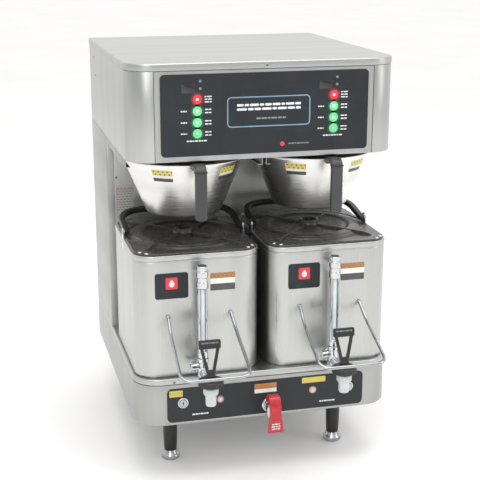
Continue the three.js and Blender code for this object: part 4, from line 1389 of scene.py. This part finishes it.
class BREWER_OT_faucets(bpy.types.Operator):
    """Builds the faucets: shank, gauge cross, wing plug, valve, bonnet and lever"""

    bl_idname = "brewer.faucets"
    bl_label = "Faucets"

    def execute(self, context):
        for name, _ in SIDES:
            node, body = f"faucet_body_{name}", f"shuttle_{name}"
            low = span(node)[0]
            x, gauge_y = station(name)[0], span(f"sight_gauge_{name}")[0][1] + 12
            valve_y = low[1] + 25
            face = span(f"shuttle_body_{name}")[0][1] - 0.3
            shank = lathed(
                [
                    (0, valve_y + 2, 0), (8.8, valve_y + 2, 0), (8.8, face - 26, 0.3),
                    (10.6, face - 26, 0.6), (10.6, face - 10, 0.6), (9, face - 9, 0.4), (9, face + 20, 0),
                    (0, face + 20, 0)
                ],
                (x, SHANK_Z), "y", 48
            )
            flange = lathed(
                [
                    (0, face - 4, 0), (12, face - 4, 1), (14.8, face - 1.4, 1.2), (14.8, face, 0),
                    (0, face, 0)
                ],
                (x, SHANK_Z), "y", 56
            )
            nut = sided_nut(x, SHANK_Z, 13.2, face - 9.6, face - 3.6)
            cross = lathed(
                [
                    (0, 227.2, 0), (9.5, 227.2, 1.5), (11.6, 229.5, 1.5), (11.6, 247, 1), (10, 249.5, 1),
                    (10, 258, 1), (11.6, 260, 1), (11.6, 267.3, 0.6), (0, 267.3, 0)
                ],
                (x, gauge_y), segments=48
            )
            metal = join(shank, flange, nut, cross, self.wing_plug(x, gauge_y))
            make(f"faucet_{name}", metal, "chrome", body, [node], bevel=0.5)
            centre = (x, valve_y)
            nozzle = lathed(
                [
                    (7, 196.2, 0.4), (9.6, 196.2, 0.8), (10.4, 198.5, 1.5), (10.8, 216, 2.5),
                    (15, 221, 2), (15, 232, 1), (13, 234, 0.5), (7, 234, 0), (7, 200, 0)
                ],
                centre, segments=56, closed=True
            )
            make(f"nozzle_{name}", nozzle, "milky plastic", body)
            bonnet = lathed(
                [
                    (0, 233, 0), (16, 233, 1.5), (20, 236, 2.5), (24.8, 238.6, 1.6), (24.8, 247, 1.8),
                    (22.5, 249.6, 3), (14, 251, 3), (0, 251, 0)
                ],
                centre, segments=144, ripple=(36, 0.9, 239.4, 246.6)
            )
            make(f"bonnet_{name}", bonnet, "black plastic", body)
            self.lever(name, x, valve_y)
        return {"FINISHED"}

    def wing_plug(self, x, y):
        """The plug on the gauge cross: a turned hub, a pinched web and a flat wing."""
        hub = [(0, x - 17, 0), (6.6, x - 17, 1), (7.8, x - 15.6, 1), (7.8, x, 0), (0, x, 0)]
        hub = lathed(hub, (y, WING_Z), "x", 32)
        web = oblong(8, 6, 3) * np.array([0.3, 1.25]) + [y, WING_Z]
        web = cut_out(web, x - 26.9, x - 22, "x")
        wing = [(-9, -2), (-5, -7.2), (5, -7.2), (9, -2), (9, 4), (4, 7.4), (-4, 7.4), (-9, 4)]
        wing = cut_out(rounded(wing, 3) + [y, WING_Z], x - 26.6, x - 16.4, "x")
        return join(hub, web, shifted(wing, 3.2))

    def lever(self, name, x, y):
        """An open frame carried round a trapezoid, with a grip bar and a forked foot, leaned back."""
        loop = rounded([(-5.6, 262), (5.6, 262), (18.2, 321), (-18.2, 321)], [4, 4, 5, 5], steps=6)
        loop = np.vstack([loop, loop[:1]])
        path = even(np.column_stack([loop[:, 0] + x, np.full(len(loop), y), loop[:, 1]]), 2)[:-1]
        frame_bar = swept(path, oblong(2.7, 3.6, 1.2, steps=4), (0, 1, 0), closed=True)
        grip = block(
            (x - 21.4, x + 21.4, 309.5, 326.6), 2.4, edge_profile(y - 3.9, y + 3.9, 1.4, 1.4), "y", 5
        )
        foot = block((x - 7.4, x + 7.4, 252.8, 268), 2.2, edge_profile(y - 3.9, y + 3.9, 1.2, 1.2), "y", 5)
        pivot = rod(3.3, x - 8.9, x + 8.9, (y, 256), "x", 24)
        whole = leaned(join(frame_bar, grip, foot, pivot), -8, (y, 256))
        node = f"faucet_lever_{name}"
        make(f"lever_{name}", whole, "black plastic", node, [node])
        lines = marks(dashes(x - 17, x + 17, 321.5, 2.6, 5), y - 3.9)
        make(f"lever_{name}_print", leaned(lines, -8, (y, 256)), "dim print", node)


# ---- hot-water tap ---------------------------------------------------------------
class BREWER_OT_tap(bpy.types.Operator):
    """Builds the hot-water tap and its red lever"""

    bl_idname = "brewer.tap"
    bl_label = "Hot-water tap"

    def execute(self, context):
        x = middle("tap_body")[0]
        face = span("base_overlay")[0][1] - 0.3
        y, z, foot = -47.0, 150.0, span("tap_body")[0][2]
        shank = lathed(
            [
                (0, -52, 0), (9, -52, 1.5), (10.8, -50, 1.5), (10.8, -30, 0.5), (9.6, -29, 0.5),
                (9.6, face - 9, 1), (13.6, face - 9, 1.5), (15.8, face - 6, 1.5), (15.8, face, 0.3),
                (10.8, face, 0), (10.8, -8, 0), (0, -8, 0)
            ],
            (x, z), "y", 56
        )
        barrel = lathed(
            [
                (0, 134, 0), (9.4, 132.2, 1.5), (11.8, 135, 2), (11.8, 157, 1.5), (10.5, 159.8, 1),
                (0, 159.8, 0)
            ],
            (x, y), segments=56
        )
        spout = lathed(
            [(5, foot + 0.2, 0.5), (7, foot + 0.2, 0.5), (7, 133, 0), (5, 133, 0)], (x, y), segments=40,
            closed=True
        )
        make("tap", join(shank, barrel, spout), "chrome", "chassis", ["tap_body"])
        line = rounded([(-42, 165.5), (-46, 180.5), (-64, 181), (-71, 166), (-75, 111.5)], [0, 7, 11, 14, 0],
                       closed=False, steps=8)
        path = even(np.column_stack([np.full(len(line), x), line]), 2)
        run = np.linspace(0, 1, len(path))
        width = np.interp(path[:, 2], [108, 150, 190], [34.6, 24, 23.6]) / 24
        width = np.where(run < 0.4, 1.0, width)
        ends = np.sqrt(np.clip(1 - (1 - np.clip((1 - run) / 0.035, 0.15, 1)) ** 2, 0.3, 1))
        strap = swept(path, oblong(2.9, 11.9, 1.7), (1, 0, 0), wide=width, deep=ends)
        hub = lathed(
            [(0, 164.6, 0), (8, 164.6, 1), (10.6, 167, 1.5), (11.4, 174, 3), (9, 178, 3), (0, 179, 0)],
            (x, y - 2), segments=48
        )
        make("tap_lever_strap", join(strap, hub), "red plastic", "tap_lever", ["tap_lever"])
        lines = []
        for k, (z0, half) in enumerate(((130, 8.5), (125, 9.5), (120, 9))):
            front = np.interp(z0, [111.5, 166], [-75, -71]) - 2.95
            lines.append(marks(dashes(x - half, x + half, z0, 2.4, 3, k), front, 0.15))
        make("tap_lever_print", join(*lines), "pale print", "tap_lever")
        return {"FINISHED"}


# ---- the add-on ------------------------------------------------------------------
class BREWER_PT_panel(bpy.types.Panel):
    """Lists the brewer's settings and its build steps"""

    bl_idname = "BREWER_PT_panel"
    bl_label = "Coffee Brewer"
    bl_space_type = "VIEW_3D"
    bl_region_type = "UI"
    bl_category = "Brewer"

    def draw(self, context):
        layout = self.layout
        for settings in (context.scene.brewer_sizes, context.scene.brewer_colours):
            column = layout.box().column(align=True)
            for key in type(settings).__annotations__:
                column.prop(settings, key)
        column = layout.column(align=True)
        for step in STEPS:
            column.operator(step.bl_idname)


STEPS = (
    BREWER_OT_finishes,
    BREWER_OT_stage,
    BREWER_OT_hood,
    BREWER_OT_base,
    BREWER_OT_column,
    BREWER_OT_legs,
    BREWER_OT_controls,
    BREWER_OT_baskets,
    BREWER_OT_shuttles,
    BREWER_OT_covers,
    BREWER_OT_bails,
    BREWER_OT_guards,
    BREWER_OT_gauges,
    BREWER_OT_faucets,
    BREWER_OT_tap,
)
CLASSES = (BrewerSizes, BrewerColours, *STEPS, BREWER_PT_panel)


def register():
    for entry in CLASSES:
        bpy.utils.register_class(entry)
    bpy.types.Scene.brewer_sizes = PointerProperty(type=BrewerSizes)
    bpy.types.Scene.brewer_colours = PointerProperty(type=BrewerColours)


def unregister():
    del bpy.types.Scene.brewer_colours
    del bpy.types.Scene.brewer_sizes
    for entry in reversed(CLASSES):
        bpy.utils.unregister_class(entry)


def main():
    """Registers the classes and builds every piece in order."""
    register()
    for step in STEPS:
        getattr(bpy.ops.brewer, step.bl_idname.split(".")[1])()


if __name__ == "__main__":
    main()
